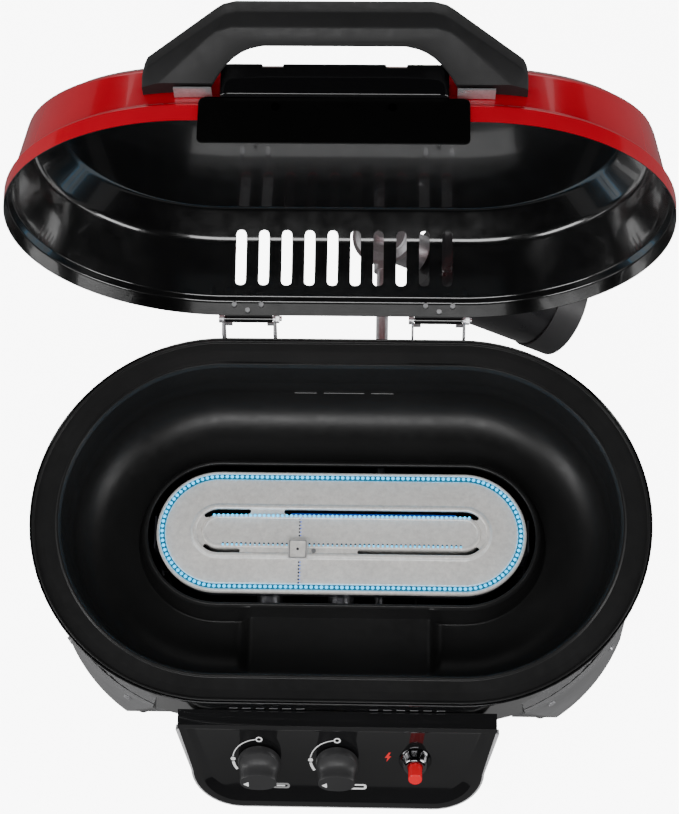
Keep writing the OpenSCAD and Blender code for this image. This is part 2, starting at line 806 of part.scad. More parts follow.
// Moulded handle: a wide arch that rises forward from two feet on the lid's front wall.
module lid_handle() {
  t = 26;
  clear = gap + badge_w / 2;
  bar = handle_reach - 24;
  color([0.2, 0.2, 0.21]) on_lid() difference() {
    translate([0, -171, 35]) rotate([180 - handle_rise, 0, 0]) translate([0, 0, -t / 2])
      linear_extrude(t) difference() {
        polygon([
          [-handle_w / 2, -16], [-handle_w / 2, 25], [-handle_w / 2 + 3, 30],
          [-94, handle_reach - 3], [-84, handle_reach], [84, handle_reach],
          [94, handle_reach - 3], [handle_w / 2 - 3, 30], [handle_w / 2, 25], [handle_w / 2, -16]]);
        polygon([
          [-97, -20], [-97, 2], [-88, 20], [-80, 31], [-70, 38], [-58, bar],
          [58, bar], [70, 38], [80, 31], [88, 20], [97, 2], [97, -20]]);
      }
    lid_volume(0.3);
    translate([-200, -400, -40]) cube([400, 400, 66.5]);
    translate([-clear, -badge_front - gap, 20]) cube([2 * clear, 60, badge_z + badge_h + gap - 20]);
    for (side = [-1, 1], x = [112, 138])
      translate([side * x, -190, 38]) rotate([-90, 0, 0]) cylinder(r = 1.9, h = 40);
  }
}

// Folded steel brackets between the handle's feet and the lid.
module handle_brackets() {
  color("silver") on_lid() difference() {
    for (side = [-1, 1])
      translate([side * 112 - 15, -186, 24.6]) cube([30, 30, 1.6]);
    lid_volume(0.3);
  }
}

// Screws from inside the lid into the handle's feet.
module handle_screws() {
  color("silver") on_lid()
    for (side = [-1, 1], x = [112, 138]) {
      // the wall curves away past the straight, so the outer screws sit further back
      dx = max(x - bowl_half, 0);
      y = sqrt(pow(rim_r - 12.5, 2) - dx * dx);
      translate([side * x, -y + 2, 38]) rotate([-90, 0, 0]) screw(1.8, 4.4, 2.2, 16);
    }
}

// Glossy block between the handle's feet, with two notches in its top.
module badge_block() {
  w = badge_w;
  top = badge_z + badge_h;
  color([0.04, 0.04, 0.04]) on_lid() difference() {
    translate([0, 17 - badge_front, badge_z]) linear_extrude(badge_h) round_plate(w, 34, 8);
    lid_volume(0.3);
    for (side = [-1, 1])
      translate([side * 49 - 8, -200, top - 3]) cube([16, 60, 10]);
    // chamfer along the top
    translate([-w / 2 - 1, -badge_front, top - 2]) rotate([45, 0, 0]) cube([w + 2, 3, 3]);
  }
}

// Black plate on the lip that hangs below the rim when the lid is shut.
module front_plate() {
  w = 214;
  low = -17;
  high = 23.8;
  color([0.05, 0.05, 0.05]) on_lid() difference() {
    union() {
      translate([0, -rim_r - 0.4, (low + high) / 2]) rotate([90, 0, 0])
        linear_extrude(1.5) round_plate(w, high - low, 5);
      translate([-w / 2 + 5, -rim_r - 1.9, high - 1.5]) cube([w - 10, 20, 1.5]);
    }
    lid_volume(0.3);
    for (x = [-46, 46])
      translate([x, -rim_r, 11]) rotate([90, 0, 0]) cylinder(r = 1.7, h = 12, center = true);
  }
}

// Screws that hold the front plate.
module plate_screws() {
  color([0.3, 0.3, 0.3]) on_lid()
    for (x = [-46, 46])
      translate([x, -rim_r - 2, 11]) rotate([90, 0, 0]) screw(1.6, 3.2, 1.4, 5);
}

// ---- water pan ----

module pan_wall() {
  z = pan_z;
  curve = [for (a = [0:10:90]) [105 + 40 * cos(a), z + 38 - 38 * sin(a)]];
  under = [for (a = [90:-10:0]) [105 + (40 + sheet) * cos(a), z + 38 - (38 + sheet) * sin(a)]];
  polygon(concat(
    [[rim_r - sheet - 0.5, ledge_z + 0.3], [rim_r - sheet - 0.5, rim_h],
     [rim_r - sheet - 2.8, rim_h], [rim_r - sheet - 2.8, ledge_z + 1.9],
     [154.5, ledge_z + 1.9], [153.4, ledge_z + 2.8], [151.8, ledge_z + 2.8], [151, ledge_z + 1]],
    curve, [[60, z], [60, z - sheet]], under, [[151, ledge_z - 2.6], [154, ledge_z + 0.3]]));
}

// Outside of the pan as a solid, for trimming the hump.
module pan_outside() {
  z = pan_z;
  polygon(concat([[0, z - sheet], [105, z - sheet]],
    [for (a = [90:-10:0]) [105 + 40.8 * cos(a), z + 38 - 38.8 * sin(a)]],
    [[0, z + 38]]));
}

// Lift-out water pan: ledge, steep wall, channel, raised lip round the burner's opening,
// and a hump in front that clears the venturi tubes.
module water_pan() {
  z = pan_z;
  lip = burner_r + 8.5;
  hump_back = -lip - 0.5;
  color([0.1, 0.1, 0.1]) difference() {
    union() {
      difference() {
        union() {
          race(bowl_half) pan_wall();
          race(burner_half) polygon([
            [lip + 11, z - sheet], [lip + 11, z], [lip + 8.6, z + 1], [lip + 4, 129],
            [lip + 2, 131], [lip, 129], [lip, 124], [lip + 1.4, 124], [lip + 1.4, 128.4],
            [lip + 2.6, 128.4], [lip + 6.8, z], [lip + 7.5, z - sheet]]);
        }
        translate([-hump_w / 2, -150, z - 10]) cube([hump_w, 150 - lip + 1, hump_z - sheet - z + 10]);
      }
      intersection() {
        difference() {
          translate([-hump_w / 2 - sheet, -150, z - sheet])
            cube([hump_w + 2 * sheet, 150 - lip - 2, hump_z - z + sheet]);
          translate([-hump_w / 2, -151, z - 10]) cube([hump_w, 160, hump_z - sheet - z + 10]);
        }
        race(bowl_half) pan_outside();
      }
    }
    translate([0, 0, z - 5]) linear_extrude(60) track(burner_half, lip);
  }
}

// ---- gas supply ----

// Steel pipe that plugs into the inlet.
module regulator_pipe() {
  start = wall_r - 0.6;
  color("silver") translate([inlet_x, start, inlet_z]) rotate([-90, 0, 0]) difference() {
    cylinder(r = pipe_r, h = regulator_y - 22 - start);
    translate([0, 0, -1]) cylinder(r = pipe_r - 1.8, h = regulator_y - 22 - start);
  }
}

// Regulator: socket for the pipe, diaphragm housing with a crimped edge, and a collar
// that the cylinder screws into.
module regulator_body() {
  color("gainsboro") difference() {
    union() {
      translate([inlet_x, regulator_y, inlet_z - 12]) {
        cylinder(r = 24, h = 26);
        translate([0, 0, 16]) cylinder(r = 31, h = 4);
        translate([0, 0, 20]) cylinder(r1 = 28, r2 = 22, h = 8);
        translate([0, 0, 28]) cylinder(r = 9, h = 7);
      }
      translate([inlet_x, regulator_y, inlet_z]) rotate([90, 0, 0]) cylinder(r = 9, h = 36);
      on_tank() cylinder(r = 19, h = 44);
    }
    translate([inlet_x, regulator_y - 21.5, inlet_z]) rotate([90, 0, 0])
      cylinder(r = pipe_r + 0.02, h = 30);
    on_tank() translate([0, 0, 30]) cylinder(r = 12.8, h = 20);
  }
}

// Steel cylinder: neck, domed shoulder, straight side and domed end, open through its valve.
module gas_cylinder() {
  s = tank_start;
  e = tank_start + tank_len;
  outside = concat(
    [[4, s - 16], [12.7, s - 16], [12.7, s - 2], [15, s], [18, s + 1]],
    [for (a = [70:-10:0]) [tank_r - 26 + 26 * cos(a), s + 26 - 26 * sin(a)]],
    [for (a = [0:10:70]) [tank_r - 20 + 20 * cos(a), e - 22 + 20 * sin(a)]],
    [[0, e - 1]]);
  inner = concat(
    [[0, s + 3], [16, s + 3.4]],
    [for (a = [70:-10:0]) [tank_r - 27.5 + 26 * cos(a), s + 28 - 26 * sin(a)]],
    [for (a = [0:10:70]) [tank_r - 21.5 + 20 * cos(a), e - 23.5 + 20 * sin(a)]],
    [[0, e - 3]]);
  color([0.12, 0.12, 0.13]) on_tank() difference() {
    rotate_extrude() polygon(concat([[0, s - 16]], outside));
    rotate_extrude() polygon(inner);
    translate([0, 0, s - 20]) cylinder(r = 3, h = 30);
  }
}

// Plastic cup on the cylinder's end.
module cylinder_foot() {
  e = tank_start + tank_len;
  color([0.2, 0.2, 0.21]) on_tank() difference() {
    translate([0, 0, e - 26]) cylinder(r = tank_r + 2, h = 30);
    translate([0, 0, e - 27]) cylinder(r = tank_r + 0.2, h = 27.4);
    translate([0, 0, e]) cylinder(r = tank_r - 12, h = 5);
  }
}

homed() base_shell();
homed() leg_front_left();
homed() leg_front_right();
homed() leg_rear_left();
homed() leg_rear_right();
homed() foot_pads();
homed() leg_screws();
homed() heat_shield();
homed() control_fascia();
homed() control_box();
homed() panel_trim();
homed() igniter_collar();
homed() igniter_body();
homed() igniter_spring();
homed() ignition_wire();
homed() electrode();
homed() collector_box();
homed() ring_burner_top();
homed() ring_burner_base();
homed() bar_burner();
homed() burner_brackets();
homed() burner_screws();
homed() venturi_left();
homed() venturi_right();
homed() valve_body_left();
homed() valve_body_right();
homed() manifold();
homed() inlet_pipe();
homed() inlet_fitting();
homed() hinge_bracket_left();
homed() hinge_bracket_right();
homed() hinge_bolts();
homed() hinge_nuts();
homed() bracket_screws();
homed() valve_plug_left();
homed() valve_plug_right();
homed() valve_stem_left();
homed() valve_stem_right();
homed() valve_spring_left();
homed() valve_spring_right();
homed() knob_left();
homed() knob_right();
homed() igniter_button();
homed() water_pan();
homed() lid_shell();
homed() lid_handle();
homed() handle_brackets();
homed() handle_screws();
homed() badge_block();
homed() front_plate();
homed() plate_screws();
homed() hinge_leaf_left();
homed() hinge_leaf_right();
homed() leaf_screws();
homed() regulator_pipe();
homed() regulator_body();
homed() gas_cylinder();
homed() cylinder_foot();
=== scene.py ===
"""Looks of the portable tabletop gas grill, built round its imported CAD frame.

Pieces are drawn in millimetres about the bowl's middle, as the parts are designed, and
placed in the frame by a few matrices that come from the frame's own joints and boxes.
"""
import json
import math

import bmesh
import bpy
from mathutils import Matrix, Vector


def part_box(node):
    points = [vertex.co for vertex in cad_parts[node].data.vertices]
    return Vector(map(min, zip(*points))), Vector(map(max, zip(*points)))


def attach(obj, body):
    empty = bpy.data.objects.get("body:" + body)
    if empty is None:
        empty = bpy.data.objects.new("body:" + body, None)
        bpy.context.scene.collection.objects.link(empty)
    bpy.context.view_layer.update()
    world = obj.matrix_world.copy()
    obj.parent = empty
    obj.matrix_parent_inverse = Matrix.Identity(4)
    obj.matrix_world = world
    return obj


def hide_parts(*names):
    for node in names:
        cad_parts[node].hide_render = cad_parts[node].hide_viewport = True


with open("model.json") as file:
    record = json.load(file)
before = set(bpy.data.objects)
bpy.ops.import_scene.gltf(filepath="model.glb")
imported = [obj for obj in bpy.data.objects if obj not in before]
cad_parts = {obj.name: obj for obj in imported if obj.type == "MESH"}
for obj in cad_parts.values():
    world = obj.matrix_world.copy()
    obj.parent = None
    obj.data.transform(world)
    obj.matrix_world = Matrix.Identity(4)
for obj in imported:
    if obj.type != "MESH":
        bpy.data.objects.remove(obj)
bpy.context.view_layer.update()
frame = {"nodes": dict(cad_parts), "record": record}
joints = {j["name"]: j for j in frame["record"]["behaviour"]["joints"]}

# ---- places, in millimetres about the bowl's middle ----

MM = 0.001
shell_low, shell_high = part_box("base_shell")
BOWL_Y = (shell_low.y + shell_high.y) / 2
RIM_Z = shell_high.z / MM
RIM_R = (shell_high.y - shell_low.y) / 2 / MM
HALF = (shell_high.x - shell_low.x) / 2 / MM - RIM_R
HOME = Matrix.Translation((0, BOWL_Y, 0)) @ Matrix.Scale(MM, 4)
SHEET = 1.6
WALL_R = RIM_R - 4
LEDGE_Z = RIM_Z - 4.4
CROWN_R = RIM_R - 39
BURNER_Z = RIM_Z - 55
BURNER_HALF = 118
# the dished field of the control face, and how far printed marks stand out of it
MARK_Z = -4.0
MARK_HIGH = 0.14


def local(point):
    """A frame point in metres, in millimetres about the bowl's middle."""
    return Vector((point[0], point[1] - BOWL_Y, point[2])) / MM


def lid_matrix():
    """Lid pieces are drawn shut, about the rim plane, and swung open about the hinge."""
    joint = joints["lid_hinge"]
    hinge = local(joint["pos_m"])
    opened = math.radians(joint["range_deg"][0])
    about = Matrix.Translation(hinge) @ Matrix.Rotation(opened, 4, "X")
    return HOME @ about @ Matrix.Translation((0, -hinge.y, RIM_Z - hinge.z))


def face_matrix(joint_name):
    """Dial pieces are drawn with Y up the control face and Z out of it."""
    joint = joints[joint_name]
    out = Vector(joint["axis"]).normalized()
    across = Vector((1, 0, 0))
    up = out.cross(across)
    turn = Matrix((across, up, out)).transposed().to_4x4()
    return HOME @ Matrix.Translation(local(joint["pos_m"])) @ turn


LID = lid_matrix()
DIAL_LEFT = face_matrix("valve_turn_left")
DIAL_RIGHT = face_matrix("valve_turn_right")
DIAL_PITCH = (DIAL_RIGHT.translation.x - DIAL_LEFT.translation.x) / MM
IGNITER = Matrix.Translation((DIAL_PITCH * MM, 0, 0)) @ DIAL_RIGHT


# ---- materials ----

class Nodes:
    """A short way to write a node tree."""

    def __init__(self, name):
        self.material = bpy.data.materials.new(name)
        self.material.use_nodes = True
        self.tree = self.material.node_tree
        self.shader = self.tree.nodes["Principled BSDF"]
        self.coords = self.tree.nodes.new("ShaderNodeTexCoord").outputs["Object"]

    def add(self, kind, **sockets):
        """A new node with some of its inputs set."""
        node = self.tree.nodes.new(kind)
        for key, value in sockets.items():
            node.inputs[key.replace("_", " ")].default_value = value
        return node

    def link(self, source, target):
        self.tree.links.new(source, target)

    def set(self, **sockets):
        """Sets inputs of the main shader."""
        for key, value in sockets.items():
            self.shader.inputs[key.replace("_", " ")].default_value = value

    def noise(self, scale, detail=3.0, rough=0.5):
        """A noise value in the object's own coordinates."""
        node = self.add("ShaderNodeTexNoise", Scale=scale, Detail=detail, Roughness=rough)
        self.link(self.coords, node.inputs["Vector"])
        return node.outputs["Fac"]

    def ramp(self, source, low, high):
        """Mixes two colours or grey levels by a noise value."""
        node = self.add("ShaderNodeValToRGB")
        for element, stop, level in zip(node.color_ramp.elements, (0.3, 0.7), (low, high)):
            element.position = stop
            element.color = (*level, 1) if hasattr(level, "__len__") else (level, level, level, 1)
        self.link(source, node.inputs["Fac"])
        return node.outputs["Color"]

    def colour(self, source, low, high):
        """Base colour that wanders between two colours."""
        self.link(self.ramp(source, low, high), self.shader.inputs["Base Color"])

    def rough(self, source, low, high):
        """Roughness that wanders between two values."""
        self.link(self.ramp(source, low, high), self.shader.inputs["Roughness"])

    def bump(self, source, strength, distance):
        """Fine relief in the shading."""
        node = self.add("ShaderNodeBump", Strength=strength, Distance=distance)
        self.link(source, node.inputs["Height"])
        self.link(node.outputs["Normal"], self.shader.inputs["Normal"])


def shade(colour, factor):
    """A colour made lighter or darker, kept below 1."""
    return tuple(min(c * factor, 1) for c in colour)


def enamel(name, colour, rough=0.16, coat=1.0, peel=0.02, gloss=0.5):
    """Fired enamel: deep colour, faint orange peel, wet gloss."""
    m = Nodes(name)
    cloud = m.noise(9, 4)
    m.colour(cloud, shade(colour, 0.9), shade(colour, 1.08))
    m.rough(m.noise(60, 3), rough * 0.8, rough * 1.25)
    m.bump(m.noise(420, 2), peel, 0.0004)
    m.set(Coat_Weight=coat, Coat_Roughness=0.04, Specular_IOR_Level=gloss)
    return m.material


def moulded(name, colour, rough=0.5, grain=0.25, scale=900, gloss=0.5):
    """Moulded plastic or matte enamel with a fine grain."""
    m = Nodes(name)
    m.colour(m.noise(14, 4), shade(colour, 0.88), shade(colour, 1.14))
    m.rough(m.noise(120, 3), rough * 0.88, rough * 1.12)
    m.bump(m.noise(scale, 3, rough=0.6), grain, 0.0003)
    m.set(Specular_IOR_Level=gloss)
    return m.material


def metal(name, colour, rough=0.3, scale=260, scratch=0.12, metallic=1.0):
    """Bare or plated metal with a fine even grain."""
    m = Nodes(name)
    grain = m.noise(scale, 5, 0.6)
    m.colour(grain, shade(colour, 0.84), shade(colour, 1.08))
    m.rough(m.noise(35, 4), rough * 0.8, rough * 1.3)
    m.bump(grain, scratch, 0.0002)
    m.set(Metallic=metallic)
    return m.material


def rubber(name, colour):
    """Soft matte rubber."""
    m = Nodes(name)
    m.colour(m.noise(40, 4), shade(colour, 0.8), shade(colour, 1.3))
    m.rough(m.noise(90, 3), 0.7, 0.9)
    m.bump(m.noise(700, 4), 0.4, 0.0003)
    return m.material


def mark(name, colour):
    """Printed mark, very slightly uneven, with a little emission of its own: a painted glow that
    brightens the print.
    """
    m = Nodes(name)
    # painted glow: the print's colour given off as emission
    m.set(Emission_Strength=0.35)
    m.shader.inputs["Emission Color"].default_value = (*colour, 1)
    m.colour(m.noise(300, 3), shade(colour, 0.9), shade(colour, 1.0))
    m.rough(m.noise(200, 2), 0.35, 0.5)
    return m.material


def flame(name, colour, strength):
    """Blue gas flame: emission that fades between two blues. Also makes the painted glow of flame
    light on the burner's groove.
    """
    m = Nodes(name)
    m.colour(m.noise(300, 2), shade(colour, 0.6), colour)
    m.link(m.ramp(m.noise(500, 2), shade(colour, 0.7), colour), m.shader.inputs["Emission Color"])
    m.set(Emission_Strength=strength, Roughness=0.6)
    return m.material


# enamel
RED = enamel("lid_red", (0.50, 0.0, 0.012), 0.16, 0.45)
LID_INSIDE = enamel("lid_inside_black", (0.004, 0.004, 0.0042), 0.18, 0.8, 0.004, 0.9)
BLACK_GLOSS = enamel("enamel_black", (0.006, 0.006, 0.0065), 0.12)
PAN_BLACK = moulded("pan_black", (0.012, 0.012, 0.0122), 0.38, 0.12, 500, gloss=0.45)
TANK = enamel("cylinder_black", (0.02, 0.02, 0.022), 0.3, 0.6)
CERAMIC = enamel("ceramic_white", (0.82, 0.80, 0.74), 0.2)

# control panel
PIANO = enamel("fascia_black", (0.009, 0.009, 0.0095), 0.09, 1.0, 0.006)
BADGE = enamel("badge_black", (0.004, 0.004, 0.0045), 0.1, 1.0, 0.006)
TRIM = enamel("trim_silver", (0.6, 0.6, 0.61), 0.35, 0.6)
BOX_GREY = enamel("box_grey", (0.10, 0.10, 0.105), 0.3, 0.5)
KNOB = moulded("knob_plastic", (0.032, 0.032, 0.033), 0.42, 0.2, 1100, gloss=0.4)
BUTTON = moulded("button_red", (0.9, 0.01, 0.02), 0.25, 0.05, 900)
COLLAR = metal("collar_black_chrome", (0.28, 0.28, 0.29), 0.12, scratch=0.02)

# plastic and rubber
HANDLE = moulded("handle_plastic", (0.0155, 0.0155, 0.016), 0.46, 0.3, 850, gloss=0.35)
LEG = moulded("leg_plastic", (0.2, 0.2, 0.204), 0.46, 0.3, 700)
CUP = moulded("cup_plastic", (0.05, 0.05, 0.052), 0.45, 0.25)
PLATE_BLACK = moulded("plate_black", (0.002, 0.002, 0.002), 0.34, 0.05, 900, gloss=0.2)
RUBBER = rubber("pad_rubber", (0.02, 0.02, 0.02))
LEAD = rubber("lead_black", (0.015, 0.015, 0.015))

# metal
ZINC = metal("zinc_plate", (0.72, 0.72, 0.74), 0.3, metallic=0.75)
SCREW_BLACK = metal("screw_black", (0.05, 0.05, 0.052), 0.2)
STAINLESS = metal("burner_stainless", (0.93, 0.905, 0.87), 0.42, 240, 0.02, 0.3)
# dark steel for the burner's base and brackets; on the ports and the spark box's hole it is
# painted shade standing for the holes' dark insides
DARK_STEEL_AND_HOLE_SHADE = metal("dark_steel_and_hole_shade", (0.10, 0.10, 0.12), 0.5)
TUBE = metal("drawn_tube", (0.42, 0.42, 0.44), 0.35)
BRASS = metal("valve_brass", (0.72, 0.55, 0.24), 0.3)
CAST = metal("regulator_cast", (0.66, 0.66, 0.68), 0.34, scale=500, scratch=0.25, metallic=0.8)

# marks and flames
WHITE_MARK = mark("mark_white", (0.85, 0.85, 0.85))
GREY_MARK = mark("mark_grey", (0.24, 0.24, 0.24))
RED_MARK = mark("mark_red", (0.75, 0.02, 0.02))
# painted glow: teal emission on the groove's metal that stands for flame light falling on it
GROOVE_PAINTED_GLOW = flame("burner_groove_painted_glow", (0.0, 0.10, 0.15), 0.8)
FLAME_CYAN = flame("flame_cyan", (0.02, 0.55, 1.0), 2.6)
FLAME_BLUE = flame("flame_blue", (0.01, 0.16, 0.9), 1.2)
FLAME_GLOW = flame("flame_glow", (0.0, 0.08, 0.5), 0.4)

# ---- mesh helpers ----


def make_object(name, bm, matrix, materials, sharp=35, body=None, stands_for=()):
    """Turns a bmesh into a finished object that rides on a body."""
    bmesh.ops.remove_doubles(bm, verts=bm.verts, dist=1e-5)
    bmesh.ops.recalc_face_normals(bm, faces=bm.faces)
    mesh = bpy.data.meshes.new(name)
    bm.to_mesh(mesh)
    bm.free()
    mesh.transform(matrix)
    for material in materials:
        mesh.materials.append(material)
    mesh.shade_smooth()
    mesh.set_sharp_from_angle(angle=math.radians(sharp))
    obj = bpy.data.objects.new(name, mesh)
    bpy.context.scene.collection.objects.link(obj)
    if body:
        finish_piece(obj, body, stands_for)
    return obj


def finish_piece(obj, body, stands_for=()):
    """Puts a piece on its body and hides the CAD nodes it stands for."""
    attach(obj, body)
    if stands_for:
        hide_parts(*stands_for)


def fillet(points, steps=5):
    """Rounds the corners of a closed outline of (x, y, radius) points."""
    out = []
    count = len(points)
    for i, (x, y, radius) in enumerate(points):
        here = Vector((x, y))
        before = Vector(points[i - 1][:2]) - here
        after = Vector(points[(i + 1) % count][:2]) - here
        if radius <= 0 or before.length < 1e-6 or after.length < 1e-6:
            out.append((x, y))
            continue
        angle = before.angle(after)
        reach = min(radius / math.tan(angle / 2), before.length * 0.49, after.length * 0.49)
        a = here + before.normalized() * reach
        b = here + after.normalized() * reach
        for k in range(steps + 1):
            t = k / steps
            p = a * (1 - t) ** 2 + here * 2 * t * (1 - t) + b * t ** 2
            out.append((p.x, p.y))
    return out


def track_path(half, arc_steps=44, straight_steps=36):
    """Stations round a racetrack: (middle x, outward x, outward y)."""
    stations = []
    for side in (1, -1):
        for k in range(arc_steps):
            a = math.radians(-90 + 180 * k / arc_steps) + (0 if side > 0 else math.pi)
            stations.append((side * half, math.cos(a), math.sin(a)))
        for k in range(straight_steps):
            x = side * half * (1 - 2 * k / straight_steps)
            stations.append((x, 0, side))
    return stations


def race(profile, half=None, closed=True, half_of=None, arc_steps=44, straight_steps=36):
    """Sweeps (radius, height) points round a racetrack. half_of gives a half per radius."""
    bm = bmesh.new()
    base = HALF if half is None else half
    rings = []
    for mx, nx, ny in track_path(base, arc_steps, straight_steps):
        ring = []
        for r, z in profile:
            stretch = half_of(r) / base if half_of else 1
            ring.append(bm.verts.new((mx * stretch + nx * r, ny * r, z)))
        rings.append(ring)
    count = len(profile)
    for i, ring in enumerate(rings):
        following = rings[(i + 1) % len(rings)]
        for k in range(count if closed else count - 1):
            n = (k + 1) % count
            # an edge that lies on the middle line would only make a wall inside
            if max(profile[k][0], profile[n][0]) > 1e-6:
                bm.faces.new([ring[k], ring[n], following[n], following[k]])
    bmesh.ops.remove_doubles(bm, verts=bm.verts, dist=1e-4)
    return bm


def lathe(profile, steps=48):
    """Turns (radius, height) points about Z."""
    bm = bmesh.new()
    rings = []
    for i in range(steps):
        a = 2 * math.pi * i / steps
        rings.append([bm.verts.new((r * math.cos(a), r * math.sin(a), z)) for r, z in profile])
    for i, ring in enumerate(rings):
        following = rings[(i + 1) % steps]
        for k in range(len(profile) - 1):
            bm.faces.new([ring[k], following[k], following[k + 1], ring[k + 1]])
    bmesh.ops.remove_doubles(bm, verts=bm.verts, dist=1e-5)
    return bm


def prism(outline, low, high):
    """Extrudes a closed (x, y) outline from low to high along Z."""
    bm = bmesh.new()
    bottom = [bm.verts.new((x, y, low)) for x, y in outline]
    top = [bm.verts.new((x, y, high)) for x, y in outline]
    bm.faces.new(bottom[::-1])
    bm.faces.new(top)
    for i in range(len(outline)):
        n = (i + 1) % len(outline)
        bm.faces.new([bottom[i], bottom[n], top[n], top[i]])
    return bm


def loft(sections, capped=True):
    """A solid, or an open band, through outlines of equal length at their own heights."""
    bm = bmesh.new()
    rings = [[bm.verts.new((x, y, z)) for x, y in outline] for outline, z in sections]
    if capped:
        bm.faces.new(rings[0][::-1])
        bm.faces.new(rings[-1])
    count = len(rings[0])
    for low, high in zip(rings, rings[1:]):
        for i in range(count):
            n = (i + 1) % count
            bm.faces.new([low[i], low[n], high[n], high[i]])
    return bm


def drill(radius, reach, steps=24):
    """A round cutter along Z, as far as reach to either side."""
    return lathe([(0, -reach), (radius, -reach), (radius, reach), (0, reach)], steps)


def joined(parts):
    """One bmesh from several (bmesh, matrix) pairs."""
    out = bmesh.new()
    for bm, matrix in parts:
        bmesh.ops.transform(bm, matrix=matrix, verts=bm.verts)
        mesh = bpy.data.meshes.new("part")
        bm.to_mesh(mesh)
        bm.free()
        out.from_mesh(mesh)
        bpy.data.meshes.remove(mesh)
    return out


def bevel(obj, width, segments=3, angle=40):
    """Rounds an object's edges, width in millimetres."""
    modifier = obj.modifiers.new("Bevel", "BEVEL")
    modifier.width = width * MM
    modifier.segments = segments
    modifier.limit_method = "ANGLE"
    modifier.angle_limit = math.radians(angle)


def boolean(obj, cutter, operation="DIFFERENCE"):
    """Applies a boolean with a cutter object and removes the cutter."""
    modifier = obj.modifiers.new("Cut", "BOOLEAN")
    modifier.object = cutter
    modifier.operation = operation
    modifier.solver = "EXACT"
    apply_modifiers(obj)
    bpy.data.objects.remove(cutter)


def apply_modifiers(obj):
    """Makes an object's modifiers part of its mesh."""
    bpy.context.view_layer.update()
    evaluated = obj.evaluated_get(bpy.context.evaluated_depsgraph_get())
    mesh = bpy.data.meshes.new_from_object(evaluated)
    obj.modifiers.clear()
    old = obj.data
    obj.data = mesh
    bpy.data.meshes.remove(old)


def rect(w, h, r=0.0):
    """A rectangle's corners about the origin, with a fillet radius."""
    return [(-w / 2, -h / 2, r), (w / 2, -h / 2, r), (w / 2, h / 2, r), (-w / 2, h / 2, r)]


def smooth_step(x, low, high):
    """0 below low, 1 above high and a smooth ramp between."""
    t = min(max((x - low) / (high - low), 0), 1)
    return t * t * (3 - 2 * t)


def at(x=0.0, y=0.0, z=0.0):
    """A move; at() leaves a part where it is."""
    return Matrix.Translation((x, y, z))


def turned(axis, degrees):
    """A turn about one of the axes."""
    return Matrix.Rotation(math.radians(degrees), 4, axis)


# ---- bowl, pan and legs ----


def slot_places(drop):
    """Where the cooling slots in front are, drop below the rim."""
    return [at(side * (34 + k * 12.4), -WALL_R, RIM_Z - drop) @ turned("X", 90)
            for side in (-1, 1) for k in range(6)]


def base_shell():
    """Enamelled bowl with a rolled, stepped rim and the cooling slots in front."""
    low = shell_low.z / MM
    wall = WALL_R
    ledge = LEDGE_Z
    t = SHEET
    outline = fillet([
        (0, low, 0), (wall - 8, low, 12), (wall, low + 12, 12), (wall, ledge - t, 1.2),
        (RIM_R, ledge - t, 1.6), (RIM_R, RIM_Z, 0.75), (RIM_R - t, RIM_Z, 0.75),
        (RIM_R - t, ledge, 0.8), (wall - t, ledge, 1.4), (wall - t, low + 12.6, 11),
        (wall - 8.6, low + t, 11), (0, low + t, 0)])
    shell = make_object("bowl_shell", race(outline, straight_steps=60), HOME, [BLACK_GLOSS])
    cutters = [(prism(fillet(rect(8, 3.4, 1.2)), -8, 8), place) for place in slot_places(38)]
    inlet_low, inlet_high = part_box("inlet_fitting")
    inlet = (inlet_low + inlet_high) / 2 / MM
    cutters.append((drill(8.3, 9, 32), at(inlet.x, wall, inlet.z) @ turned("X", 90)))
    cutters += [(drill(6, 4), at(k * 40, side * 60, low + 1))
                for side in (-1, 1) for k in range(-3, 4)]
    for x, z, radius, reach in ((-DIAL_PITCH + 4, 100, 6.5, 9), (0, 100, 6.5, 9),
                                (inlet.x, 91, 6, 11), (DIAL_PITCH, 96, 3, 11)):
        cutters.append((drill(radius, reach), at(x, -wall, z) @ turned("X", 90)))
    cutter = make_object("cutter", joined(cutters), HOME, [BLACK_GLOSS])
    boolean(shell, cutter)
    shell.data.set_sharp_from_angle(angle=math.radians(35))
    finish_piece(shell, "base", ["base_shell"])
    # thin zinc strips just under each cooling slot stand in for the bright dashes of light seen at
    # the slots: painted glints
    glint_strips = [(prism(fillet(rect(7.6, 1.1, 0.5)), -0.1, 0.35), place)
            for place in slot_places(40.4)]
    make_object("slot_glint_strips", joined(glint_strips), HOME, [ZINC], body="base")


